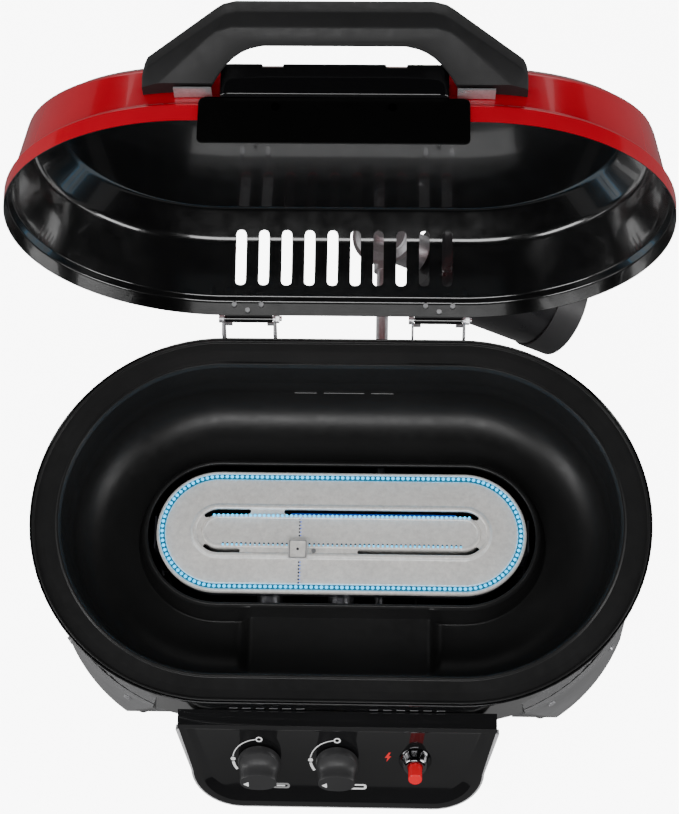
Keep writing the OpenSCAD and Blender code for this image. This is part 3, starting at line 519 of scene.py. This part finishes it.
def water_pan():
    """Pan pressed from one sheet: ledge, steep wall, channel, hump and raised lip."""
    floor_z = RIM_Z - 88
    ledge = LEDGE_Z
    lip = 69
    wall = []
    for a in range(0, 91, 6):
        turn = math.radians(a)
        wall.append((105 + 40 * math.cos(turn), floor_z + 38 - 38 * math.sin(turn), 0))
    flat = [(105 - k * 4, floor_z, 0) for k in range(1, 6)]
    top = fillet([
        (RIM_R - 2.2, ledge + 0.6, 0), (RIM_R - 2.2, RIM_Z, 1.0), (RIM_R - 4.4, RIM_Z, 1.0),
        (RIM_R - 4.4, ledge + 1.9, 1.0), (RIM_R - 13, ledge + 1.5, 2), (155, ledge + 1.5, 1.5),
        (153.6, ledge + 2.7, 0.7), (152, ledge + 2.7, 0.9), (150, ledge - 2, 6), (147.5, 150, 30)]
        + wall + flat +
        [(81, floor_z, 7), (74.5, 128, 5), (71.5, 131.2, 2.2), (lip + 0.2, 130.2, 1.5),
         (lip, 125, 0)])[1:]

    def half_of(r):
        return HALF + (BURNER_HALF - HALF) * (1 - smooth_step(r, 80, 106))

    bm = race(top, closed=False, half_of=half_of, arc_steps=60, straight_steps=90)
    hump = 116.6
    for v in bm.verts:
        if v.co.y < 0 and v.co.z < hump + 12:
            share = 1 - smooth_step(abs(v.co.x), 84, 101)
            level = floor_z + (hump - floor_z) * share
            raised = (v.co.z + level + math.hypot(v.co.z - level, 5)) / 2
            v.co.z += (raised - v.co.z) * share
    pan = make_object("pan_pressing", bm, HOME, [PAN_BLACK], sharp=50)
    thick = pan.modifiers.new("Sheet", "SOLIDIFY")
    thick.thickness = SHEET * MM * 0.94
    thick.offset = -1
    apply_modifiers(pan)
    finish_piece(pan, "pan", ["water_pan"])


def level_marks():
    """Plain strokes on the pan's back wall that stand for its highest water line."""
    parts = []
    for x, w in ((-38, 22), (0, 40), (38, 22)):
        parts.append((prism(fillet(rect(w, 1.1, 0.5)), 0, 0.25),
                      at(x, 144.0, 133.5) @ turned("X", 97)))
    make_object("level_marks", joined(parts), HOME, [GREY_MARK], body="pan")


# ---- burner ----


def ring_burner():
    """Upper pressing with a port groove near its edge and a raised inner loop."""
    z = BURNER_Z
    r = 60.5
    outline = fillet([
        (22, z - 1.3, 0.3), (22, z + 1.6, 0.8), (23.2, z + 2.3, 0.9), (25.2, z + 2.3, 1.2),
        (27.5, z + 0.2, 1.6), (51.5, z + 0.2, 0.8), (52.6, z - 0.9, 0.6), (57.2, z - 0.9, 0.6),
        (58, z, 0.5), (59.4, z, 0.8), (r, z - 1.4, 0.8), (r, z - 6, 0.3), (r - 1.1, z - 6, 0.3),
        (r - 1.1, z - 2.1, 0.5), (52, z - 2.1, 0.5), (51, z - 1.1, 0.5), (27, z - 1.1, 0.6),
        (24, z + 1.1, 0.4), (23.2, z + 1.1, 0.4), (23.2, z - 1.3, 0.3)], 3)
    bm = race(outline, half=BURNER_HALF)
    parts = [(bm, at())]
    for x, w, y in ((-71.5, 37, 19.9), (-40.5, 118, -19.9)):
        parts.append((prism(bridge(w, 6.2), z - 1.2, z + 0.4), at(x, y, 0)))
    for side in (0, 180):
        parts.append((prism(end_web(19.9, 6.2, 52), z - 1.2, z + 0.4),
                      turned("Z", side) @ at(BURNER_HALF, 0, 0)))
    plate = make_object("ring_burner_plate", joined(parts), HOME, [STAINLESS, GROOVE_PAINTED_GLOW],
                        body="base", stands_for=["ring_burner_top"])
    # the groove's upward faces take the painted flame glow
    for face in plate.data.polygons:
        centre = local(face.center)
        out = math.hypot(max(abs(centre.x) - BURNER_HALF, 0), centre.y)
        if 52.3 < out < 57.4 and face.normal.z > 0:
            face.material_index = 1


def bite(x, y, direction):
    """Points of a half-round notch about (x, y), clockwise, open towards direction."""
    radius, steps = 2.5, 8
    turn = math.radians(direction)
    return [(x + radius * math.cos(turn - math.pi / 2 - math.pi * k / steps),
             y + radius * math.sin(turn - math.pi / 2 - math.pi * k / steps))
            for k in range(steps + 1)]


def bridge(w, h):
    """A strip whose two ends are the round ends of the slots beside it."""
    return ([(-w / 2, -h / 2), (w / 2, -h / 2)] + bite(w / 2, 0, 0)
            + [(w / 2, h / 2), (-w / 2, h / 2)] + bite(-w / 2, 0, 180))


def end_web(radius, width, spread):
    """The band round a slot's bend, with the slots' round ends cut into it."""
    outer, inner = [], []
    for k in range(25):
        a = math.radians(-spread + 2 * spread * k / 24)
        outer.append(((radius + width / 2) * math.cos(a), (radius + width / 2) * math.sin(a)))
        inner.append(((radius - width / 2) * math.cos(a), (radius - width / 2) * math.sin(a)))
    ends = [(radius * math.cos(math.radians(a)), radius * math.sin(math.radians(a)))
            for a in (spread, -spread)]
    return (outer + bite(*ends[0], 90 + spread) + inner[::-1]
            + bite(*ends[1], -90 - spread))


def bar_burner():
    """Inner bar with its edges rolled and a shallow crown."""
    z = BURNER_Z
    low = z - 20
    outline = fillet([
        (0, low, 0), (15.6, low, 1), (17, low + 2, 1), (17, z - 0.4, 1.2), (15.6, z + 0.9, 1),
        (13.6, z + 0.9, 0.8), (12.8, z + 0.3, 0.6), (0, z + 0.3, 0)], 3)
    make_object("bar_burner_body", race(outline, half=BURNER_HALF), HOME, [STAINLESS], body="base",
                stands_for=["bar_burner"])


def track_points(half, r, spacing):
    """Evenly spaced points round a racetrack, as (x, y, outward angle)."""
    straight, arc = 2 * half, math.pi * r
    total = 2 * (straight + arc)
    count = round(total / spacing)
    points = []
    for k in range(count):
        s = total * k / count
        side = 1
        if s >= straight + arc:
            s -= straight + arc
            side = -1
        if s < straight:
            points.append((side * (half - s), side * r, math.pi / 2 * side))
        else:
            a = math.pi / 2 + (s - straight) / r
            points.append((side * (-half + r * math.cos(a)), side * r * math.sin(a),
                           a if side > 0 else a + math.pi))
    return points


def bead(radius, height):
    """A small flame: a teardrop."""
    return lathe([(0, 0), (radius * 0.8, 0), (radius, height * 0.3), (radius * 0.7, height * 0.7),
                  (0, height)], 8)


def port_rows():
    """Port positions on the burner: the ring's row, the bar's two rows and the crossing row."""
    ring = [(x, y) for x, y, _ in track_points(BURNER_HALF, 55, 4.9)]
    bar_back = [(-123 + k * 4.4, 14.9) for k in range(57)]
    bar_front = [(-118 + k * 4.4, -12.2) for k in range(1, 54)]
    cross = [(-40, low + k * 3.4) for low, count in ((-51, 7), (-4, 6)) for k in range(count)]
    return ring, bar_back, bar_front, cross


def ports():
    """Dark discs at the ports in every row: painted shade for the port holes."""
    ring, back, front, cross = port_rows()
    z = BURNER_Z
    parts = []
    for row, size, height in ((ring, 1.5, z - 0.85), (back, 1.1, z + 0.32),
                              (front, 0.9, z + 0.32), (cross, 0.9, z + 0.25)):
        for x, y in row:
            port = lathe([(0, 0), (size, 0), (size, 0.12), (0, 0.16)], 10)
            parts.append((port, at(x, y, height)))
    make_object("burner_ports_hole_shade", joined(parts), HOME, [DARK_STEEL_AND_HOLE_SHADE], body="base")


def flames():
    """The lit burner: a bead of flame at each port and a faint glow in the rear slot."""
    ring, back, front, cross = port_rows()
    z = BURNER_Z
    bridge_x, bridge_half = -37, 55
    bright = [(bead(1.75, 4), at(x, y, z - 0.8)) for x, y in ring]
    bright += [(bead(1.4, 3.4), at(x, y + 0.6, z + 0.6)) for x, y in back]
    for x, y in front:
        radius = 1.15 if abs(x - bridge_x) > bridge_half else 0.7
        bright.append((bead(radius, 1.4), at(x, y - 1.7, z + 0.4)))
    low = [(bead(0.5, 1.2), at(x + 1.3, y, z + 0.5)) for x, y in cross]
    make_object("flames_bright", joined(bright), HOME, [FLAME_CYAN], body="base")
    make_object("flames_low", joined(low), HOME, [FLAME_BLUE], body="base")
    glow = [(prism(fillet(rect(160, 1.7, 0.8), 6), -0.6, 0.2), at(31, 18.2, z - 2.6)),
            (prism(fillet(rect(34, 1.2, 0.5), 6), 0, 0.2), at(-68, -14.6, z + 0.4))]
    make_object("flames_glow", joined(glow), HOME, [FLAME_GLOW], body="base")


def spark_box_marks():
    """Rolled border on top of the spark box, and a dark disc for its centre hole: painted shade.
    """
    low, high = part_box("collector_box")
    x, y = (low.x + high.x) / 2 / MM, (low.y + high.y - 2 * BOWL_Y) / 2 / MM
    border = fillet(rect(17, 18, 1.6), 4)
    inner = fillet(rect(15, 16, 1.2), 4)
    rim = loft([(border, 0.0), (border, 0.35), (inner, 0.35), (inner, 0.0)], capped=False)
    place = at(x, y, high.z / MM)
    make_object("spark_box_border", joined([(rim, place)]), HOME, [ZINC], body="base")
    # the centre hole is a dark disc: painted shade
    hole = lathe([(0, 0), (1.3, 0), (1.3, 0.15), (0, 0.2)], 20)
    make_object("spark_box_hole_shade", joined([(hole, place)]), HOME, [DARK_STEEL_AND_HOLE_SHADE], body="base")


# ---- lid ----


def lid_profile(t):
    """The lid's outside line, t deep inside it, from the lip's edge to the crown."""
    r = RIM_R - t
    top = 107
    points = [(r, 0.5, 0), (r, 15 - t * 0.6, 3.5), (r - 5, 19 - t * 0.6, 3.5),
              (r - 15, 73 - t * 0.4, 15), (r - 39, 97 - t * 0.7, 12)]
    points += [(CROWN_R * k / 8, top - t - (top - 97) * (k / 8) ** 2, 0) for k in range(7, -1, -1)]
    return fillet(points + [(0, 0, 0)], 7)[:-1]


def lower_front(bm):
    """Bends the crown's front half down, as the lid slopes towards its handle."""
    for v in bm.verts:
        if v.co.z <= 19 or v.co.y >= -20:
            continue
        r = math.hypot(max(abs(v.co.x) - HALF, 0), v.co.y)
        inner = min(r, CROWN_R)
        top = 107 - 10 * (inner / CROWN_R) ** 2
        slope = 107 + 0.26 * (20 + v.co.y * inner / r)
        v.co.z = 19 + (v.co.z - 19) * min(1, (slope - 19) / (top - 19))


def lid_shell():
    """Lid pressing: red outside, black inside, with the vent slots cut through."""
    outer = lid_profile(0)
    inner = lid_profile(SHEET)
    profile = [(RIM_R - 0.5, 0.35)] + outer[1:] + inner[:0:-1] + [(RIM_R - SHEET + 0.4, 0.35)]
    bm = race(profile, arc_steps=64, straight_steps=60)
    lower_front(bm)
    lid = make_object("lid_pressing", bm, LID, [RED, LID_INSIDE])
    cut_slots(lid)
    paint_lid(lid)
    lid.data.shade_smooth()
    lid.data.set_sharp_from_angle(angle=math.radians(38))
    finish_piece(lid, "lid", ["lid_shell"])


def cut_slots(lid):
    """Ten vent slots with round ends through the lid's back wall."""
    slots = []
    for k in range(10):
        outline = fillet([(-5, 29, 5), (5, 29, 5), (5, 81, 5), (-5, 81, 5)], 8)
        place = at((k - 4.5) * 22.1, RIM_R + 10, 0) @ turned("X", 90)
        slots.append((prism(outline, 0, 60), place))
    cutter = make_object("cutter", joined(slots), LID, [LID_INSIDE])
    boolean(lid, cutter)


def paint_lid(lid):
    """Faces that look inwards take the black enamel."""
    back = LID.inverted()
    turn = back.to_3x3()
    middle = Vector((0, 0, 20))
    for face in lid.data.polygons:
        centre = back @ face.center
        out = (turn @ face.normal).normalized()
        x = max(abs(centre.x) - HALF, 0) * (1 if centre.x > 0 else -1)
        away = Vector((x, centre.y, (centre.z - middle.z) * 1.2))
        inward = out.dot(away) < 0 or centre.z < 1.0 and abs(out.z) > 0.9
        face.material_index = 1 if inward else 0


def lid_handle():
    """Wide arch of charcoal plastic whose outer faces meet in a long facet."""
    t, facet = 26, 9.2
    outer = [(-153, -16), (-153, 15), (-150, 21.5), (-93, 62), (-88, 65), (-78, 67.4)]
    ridge = [(-153, -16), (-153, 11), (-148.5, 17.5), (-91, 57.5), (-86, 60.3), (-77, 62.4)]
    inset = [(-153, -16), (-152.6, -4), (-141, 6), (-100, 43.5), (-92, 49.5), (-80, 53)]
    inner = [(56, 37.5), (66, 35.2), (73, 32), (79, 27.8), (84, 23), (88.5, 17.6), (92.5, 12),
             (96, 6), (99.5, 0), (101, -20)]

    def outline(left):
        right = [(-x, u) for x, u in reversed(left)]
        return left + right + inner[::-1] + [(-x, u) for x, u in inner]

    arch = loft([(outline(outer), -t / 2), (outline(ridge), t / 2 - facet),
                 (outline(inset), t / 2)])
    place = LID @ at(0, -171, 35) @ turned("X", 180 - 40)
    body = make_object("handle_arch", arch, place, [HANDLE])
    bevel(body, 1.6, 3, 12)
    apply_modifiers(body)
    low = prism(fillet(rect(500, 600, 0)), -60, 30)
    boolean(body, make_object("cutter", low, LID, [HANDLE]))
    clear = prism(fillet(rect(182.8, 60, 0)), 10, 49)
    boolean(body, make_object("cutter", clear, LID @ at(0, -156.4, 0), [HANDLE]))
    boolean(body, make_object("cutter", lid_block(0.3), LID, [HANDLE]))
    body.data.shade_smooth()
    body.data.set_sharp_from_angle(angle=math.radians(34))
    finish_piece(body, "lid", ["lid_handle"])


def lid_block(grow):
    """The lid's outside as a closed solid, grown a little, for trimming what sits on it."""
    r = RIM_R + grow
    points = [(0, 0.4), (r, 0.4), (r, 15), (r - 5, 19), (r - 15, 73), (r - 39, 97 + grow),
              (0, 107 + grow)]
    return race(points, closed=False, arc_steps=64, straight_steps=2)


def badge_block():
    """Glossy block with two notches in its top edge and a plain face."""
    w, h, low = 182, 28.2, 20.2
    outline = fillet([(-w / 2, -145, 0), (-w / 2, -186, 9), (w / 2, -186, 9), (w / 2, -145, 0)], 8)
    block = make_object("badge_housing", prism(outline, low, low + h), LID, [BADGE])
    notches = [(prism(fillet(rect(16, 60, 0)), low + h - 3, low + h + 10), at(x, -186, 0))
               for x in (-49, 49)]
    boolean(block, make_object("cutter", joined(notches), LID, [BADGE]))
    boolean(block, make_object("cutter", lid_block(0.3), LID, [BADGE]))
    block.data.set_sharp_from_angle(angle=math.radians(35))
    bevel(block, 1.4, 4, 40)
    finish_piece(block, "lid", ["badge_block"])


def front_plate():
    """Black sheet on the lip, folded over along its top edge."""
    w, low, high = 214, -21, 19.8
    outline = fillet(rect(w, high - low, 5), 8)
    plate = prism(outline, 0, 1.5)
    fold = prism(fillet(rect(w - 10, 20, 0)), -1.5, 0)
    parts = [(plate, at(0, -RIM_R - 0.4, (low + high) / 2) @ turned("X", 90)),
             (fold, at(0, -RIM_R + 8.1, high))]
    obj = make_object("plate_sheet", joined(parts), LID, [PLATE_BLACK])
    boolean(obj, make_object("cutter", lid_block(0.3), LID, [PLATE_BLACK]))
    bevel(obj, 0.5, 3, 40)
    finish_piece(obj, "lid", ["front_plate"])


# ---- control panel ----


def face_outline(grow, top=45.6):
    """Outline of the control face: square top corners, large round lower corners."""
    corner = 46 + grow
    half = 148 + grow
    points = [(half, top)]
    for side in (1, -1):
        a0, a1 = (0, -90) if side > 0 else (-90, -180)
        for k in range(13):
            a = math.radians(a0 + (a1 - a0) * k / 12)
            points.append((side * 90 + corner * math.cos(a), -14 + corner * math.sin(a)))
    points.append((-half, top))
    return points


def control_fascia():
    """Glossy bib with a dished dial field whose border slopes softly."""
    place = DIAL_RIGHT
    body = make_object("fascia_panel", prism(face_outline(0), -7, 0), place, [PIANO])
    ledge = make_object("cutter", prism(fillet(rect(296, 19, 0)), 139.4, 143),
                        HOME @ at(0, -185, 0), [PIANO])
    boolean(body, ledge, "UNION")
    room = prism([(-174, 143), (-190, 143), (-264, 37), (-174, 58)], -200, 200)
    boolean(body, make_object("cutter", room, HOME @ turned("Z", 90) @ turned("X", 90), [PIANO]),
            "INTERSECT")
    cup = []
    for depth, grow, top in ((-4, -17, 35), (-3.4, -14.5, 36.5), (-1.8, -10.5, 38.5),
                             (-0.4, -7.5, 40), (0, -5.5, 41), (3, -5.5, 41)):
        cup.append((face_outline(grow, top), depth))
    boolean(body, make_object("cutter", loft(cup), place, [PIANO]))
    holes = [(drill(radius, 12, 32), at(x, 0, 0))
             for x, radius in ((-DIAL_PITCH, 4.2), (0, 4.2), (DIAL_PITCH, 9.4))]
    boolean(body, make_object("cutter", joined(holes), place, [PIANO]))
    body.data.set_sharp_from_angle(angle=math.radians(24))
    bevel(body, 1.5, 4, 40)
    finish_piece(body, "base", ["control_fascia"])


def fascia_edge():
    """Pale rolled edge that shows round the sides and foot of the fascia."""
    edge = make_object("fascia_edge", prism(face_outline(2.4, 38), -8, -0.9), DIAL_RIGHT, [TRIM])
    inside = make_object("cutter", prism(face_outline(0.15, 60), -20, 10), DIAL_RIGHT, [TRIM])
    boolean(edge, inside)
    bevel(edge, 0.5, 2, 40)
    finish_piece(edge, "base", ["panel_trim"])


def arc_band(radius, width, start, end):
    """Outline of a band along an arc, angles counted from 12 o'clock, anticlockwise."""
    steps = 40
    outer, inner = [], []
    for k in range(steps + 1):
        a = math.radians(90 + start + (end - start) * k / steps)
        outer.append(((radius + width / 2) * math.cos(a), (radius + width / 2) * math.sin(a)))
        inner.append(((radius - width / 2) * math.cos(a), (radius - width / 2) * math.sin(a)))
    return outer + inner[::-1]


def ring_band(radius, width, x, y):
    """A printed ring about (x, y)."""
    inner, outer = radius - width / 2, radius + width / 2
    bm = lathe([(inner, 0), (inner, MARK_HIGH), (outer, MARK_HIGH), (outer, 0)], 32)
    return bm, at(x, y, MARK_Z)


def pill(w, h, x, y):
    """A printed bar with round ends about (x, y)."""
    return prism(fillet(rect(w, h, h / 2), 6), 0, MARK_HIGH), at(x, y, MARK_Z)


def dial_marks(place, name, ringed):
    """Generic dial scale: off ring, rising arc, low-flame mark and a burner sign."""
    drop = 1.5
    sign_at = (19, -36)
    parts = [ring_band(2.6, 1.3, 0, 25.4 - drop)]
    dot = lathe([(0, 0), (2.3, 0), (2.3, MARK_HIGH), (0, MARK_HIGH)], 24)
    parts.append((prism(arc_band(25.4, 0.9, 7, 83), 0, MARK_HIGH), at(0, -drop, MARK_Z)))
    parts.append((dot, at(-25.2, -drop, MARK_Z)))
    parts.append((prism(arc_band(25.4, 2.5, 98, 122), 0, MARK_HIGH), at(0, -drop, MARK_Z)))
    make_object(name + "_scale", joined(parts), place, [WHITE_MARK], body="base")
    outer = fillet(rect(17, 7, 3.5), 6)
    inner = fillet(rect(12.8, 2.8, 1.4), 6)
    frame_ring = loft([(outer, 0.12), (inner, 0.12)], capped=False)
    sign = [(frame_ring, at(*sign_at, MARK_Z))]
    if not ringed:
        make_object(name + "_sign", joined(sign), place, [GREY_MARK], body="base")
        sign = [pill(8, 1.5, *sign_at)]
    make_object(name + "_sign_bright", joined(sign), place, [WHITE_MARK], body="base")


def spark_mark():
    """Small red lightning bolt beside the igniter."""
    bolt = [(0.8, 6), (-3.0, -0.8), (-0.6, -0.8), (-1.4, -6), (3.0, 1.2), (0.5, 1.2), (2.6, 6)]
    make_object("spark_sign", prism(bolt, 0, MARK_HIGH), IGNITER @ at(-25.5, 3.5, MARK_Z),
                [RED_MARK], body="base")


def knob(place, name, body, node):
    """Round skirt that draws in to a thick, flat-topped grip set low on it, with a pointer."""
    skirt = [(19.6, 0.2), (20, 0.7), (19.9, 4.0), (19.6, 7.4), (19.0, 8.6)]
    parts = [(lathe([(3.1, 0.2)] + skirt + [(0, 9.0)], 96), at())]
    sections = []
    for z, length, width, square, drop in (
            (8.4, 18.8, 18.8, 1.0, 0), (9.6, 18.6, 16.2, 0.97, 1.8),
            (11.5, 18.2, 12.9, 0.92, 4.2), (15, 17.9, 11.2, 0.9, 5.6),
            (19, 17.5, 10.4, 0.88, 6.2), (21.4, 17.1, 9.9, 0.88, 6.5),
            (21.99, 16.5, 9.3, 0.88, 6.5)):
        outline = []
        for k in range(72):
            a = 2 * math.pi * k / 72
            c, d = math.cos(a), math.sin(a)
            outline.append((length * math.copysign(abs(c) ** square, c),
                            width * math.copysign(abs(d) ** square, d) - drop))
        sections.append((outline, z))
    parts.append((loft(sections), at()))
    obj = make_object(name, joined(parts), place, [KNOB], sharp=32)
    finish_piece(obj, body, [node])
    tip = prism(fillet([(-3.0, -2.4, 0.5), (3.0, -2.4, 0.5), (0, 2.8, 0.5)], 4), 0, 0.16)
    on_top = at(-11.4, -8.6, 21.95) @ turned("Z", 90)
    make_object(name + "_pointer", joined([(tip, on_top)]), place, [WHITE_MARK], body=body)


def igniter():
    """Flared glossy collar and a red button with a dished face."""
    collar = lathe([(6.45, -3.6), (15.4, -3.8), (15.4, -3.0), (14, -0.2), (12, 3.4), (10.6, 6.0),
                    (9.6, 6.8), (7.6, 6.8), (6.6, 6.2), (6.45, 4.0)], 64)
    make_object("igniter_cone", collar, IGNITER, [COLLAR], sharp=50, body="base")
    button = lathe([(0, -18), (2.4, -18), (2.4, -10), (6.3, -10), (6.4, -9.6), (6.4, 20.3),
                    (6.2, 21.1), (5.6, 21.5), (4.4, 21.4), (0, 21.0)], 64)
    make_object("igniter_push", button, IGNITER, [BUTTON], sharp=50, body="button",
                stands_for=["igniter_button"])


# ---- the rest of the CAD nodes take their finish as they are ----


def tint(node, material, width):
    """Gives a CAD node its finish and rounds its edges."""
    obj = frame["nodes"][node]
    obj.data.materials.clear()
    obj.data.materials.append(material)
    obj.data.shade_smooth()
    obj.data.set_sharp_from_angle(angle=math.radians(32))
    if width:
        bevel(obj, width)


def tint_nodes():
    """Finishes every CAD node that no piece above stands for."""
    for node, material, width in (
            ("leg_front_left", LEG, 1.2), ("leg_front_right", LEG, 1.2),
            ("leg_rear_left", LEG, 1.2), ("leg_rear_right", LEG, 1.2),
            ("foot_pads", RUBBER, 0.4), ("leg_screws", ZINC, 0.25),
            ("heat_shield", BLACK_GLOSS, 0.3), ("control_box", BOX_GREY, 0.5),
            ("igniter_collar", COLLAR, 0.3),
            ("igniter_body", COLLAR, 0.3), ("igniter_spring", ZINC, 0),
            ("ignition_wire", LEAD, 0), ("electrode", CERAMIC, 0.3),
            ("collector_box", STAINLESS, 0.3), ("ring_burner_base", DARK_STEEL_AND_HOLE_SHADE, 0.5),
            ("burner_brackets", DARK_STEEL_AND_HOLE_SHADE, 0.3), ("burner_screws", ZINC, 0.3),
            ("venturi_left", TUBE, 0.5), ("venturi_right", TUBE, 0.5),
            ("valve_body_left", BRASS, 0.5), ("valve_body_right", BRASS, 0.5),
            ("manifold", TUBE, 0.3), ("inlet_pipe", TUBE, 0.3), ("inlet_fitting", ZINC, 0.3),
            ("hinge_bracket_left", ZINC, 0.3), ("hinge_bracket_right", ZINC, 0.3),
            ("hinge_bolts", ZINC, 0.3), ("hinge_nuts", ZINC, 0.2), ("bracket_screws", ZINC, 0.25),
            ("valve_plug_left", BRASS, 0.3), ("valve_plug_right", BRASS, 0.3),
            ("valve_stem_left", ZINC, 0.3), ("valve_stem_right", ZINC, 0.3),
            ("valve_spring_left", ZINC, 0), ("valve_spring_right", ZINC, 0),
            ("handle_brackets", ZINC, 0.3), ("handle_screws", ZINC, 0.3),
            ("plate_screws", SCREW_BLACK, 0.25), ("hinge_leaf_left", BLACK_GLOSS, 0.4),
            ("hinge_leaf_right", BLACK_GLOSS, 0.4), ("leaf_screws", ZINC, 0.25),
            ("regulator_pipe", ZINC, 0.3), ("regulator_body", CAST, 1.0),
            ("gas_cylinder", TANK, 0.5), ("cylinder_foot", CUP, 0.6)):
        tint(node, material, width)


# ---- studio, in metres ----

FLOOR_HALF = 40.0


def plane(name, z, strength, grey=0.86):
    """A softly lit sheet across the whole studio."""
    m = Nodes(name + "_white")
    m.colour(m.noise(3, 2), (grey, grey, grey), shade((grey, grey, grey), 1.04))
    m.set(Roughness=0.6, Emission_Strength=strength)
    m.shader.inputs["Emission Color"].default_value = (1, 1, 1, 1)
    bm = bmesh.new()
    bm.faces.new([bm.verts.new((x * FLOOR_HALF, y * FLOOR_HALF, z))
                  for x, y in ((-1, -1), (1, -1), (1, 1), (-1, 1))])
    mesh = bpy.data.meshes.new(name)
    bm.to_mesh(mesh)
    bm.free()
    mesh.materials.append(m.material)
    obj = bpy.data.objects.new(name, mesh)
    obj.visible_diffuse = False
    bpy.context.scene.collection.objects.link(obj)
    return obj


def floor():
    """Pale floor: one sheet to look at, and a dimmer one for the gloss to reflect."""
    plane("floor", 0, 8.0).visible_glossy = False
    plane("floor_reflected", -0.001, 0.12, 0.12).visible_camera = False


def area_light(name, location, target, size, power):
    """A soft white panel aimed at a point."""
    light = bpy.data.lights.new(name, "AREA")
    light.shape = "RECTANGLE"
    light.size, light.size_y = size
    light.energy = power
    obj = bpy.data.objects.new(name, light)
    obj.location = location
    obj.rotation_euler = (Vector(target) - Vector(location)).to_track_quat("-Z", "Y").to_euler()
    bpy.context.scene.collection.objects.link(obj)


def lights():
    """Even white surroundings that gloss does not mirror, and six soft panels that it does."""
    world = bpy.data.worlds.new("studio")
    bpy.context.scene.world = world
    world.use_nodes = True
    background = world.node_tree.nodes["Background"]
    background.inputs["Color"].default_value = (1, 1, 1, 1)
    background.inputs["Strength"].default_value = 0.5
    world.cycles_visibility.glossy = False
    area_light("softbox_left", (-1.8, -0.7, 1.3), (0, 0, 0.3), (0.5, 1.2), 16)
    area_light("softbox_right", (1.9, -0.5, 1.2), (0, 0, 0.3), (0.5, 1.2), 14)
    area_light("softbox_key", (-0.2, -1.7, 2.3), (0, 0, 0.3), (1.6, 0.8), 30)
    area_light("card_back", (0, 2.5, 0.7), (0, 0, 0.5), (3.0, 0.9), 9)
    area_light("card_left", (-2.4, 0.3, 0.4), (0, 0, 0.2), (1.6, 0.7), 6)
    area_light("card_right", (2.4, 0.3, 0.4), (0, 0, 0.2), (1.6, 0.7), 7)


def camera():
    """The view that the two rim outlines give."""
    tilt, yaw, roll = math.radians(69.370), math.radians(4.704), math.radians(-3.799)
    forward = Vector((0, math.cos(tilt), -math.sin(tilt)))
    right = Vector((1, 0, 0))
    up = Vector((0, math.sin(tilt), math.cos(tilt)))
    turn = Matrix.Rotation(yaw, 3, "Z")
    forward, right, up = turn @ forward, turn @ right, turn @ up
    across = right * math.cos(roll) + up * math.sin(roll)
    upright = up * math.cos(roll) - right * math.sin(roll)
    data = bpy.data.cameras.new("camera")
    data.sensor_width = 36
    data.lens = 82.87
    obj = bpy.data.objects.new("camera", data)
    place = Matrix((across, upright, -forward)).transposed().to_4x4()
    place.translation = Vector((0.0494, -0.5212 + BOWL_Y, 1.6775 + RIM_Z * MM))
    obj.matrix_world = place
    bpy.context.scene.collection.objects.link(obj)
    bpy.context.scene.camera = obj


camera()
lights()
floor()
base_shell()
water_pan()
level_marks()
ring_burner()
bar_burner()
ports()
flames()
spark_box_marks()
lid_shell()
lid_handle()
badge_block()
front_plate()
control_fascia()
fascia_edge()
dial_marks(DIAL_LEFT, "dial_left", False)
dial_marks(DIAL_RIGHT, "dial_right", True)
spark_mark()
knob(DIAL_LEFT, "knob_left_cap", "knob_left", "knob_left")
knob(DIAL_RIGHT, "knob_right_cap", "knob_right", "knob_right")
igniter()
tint_nodes()
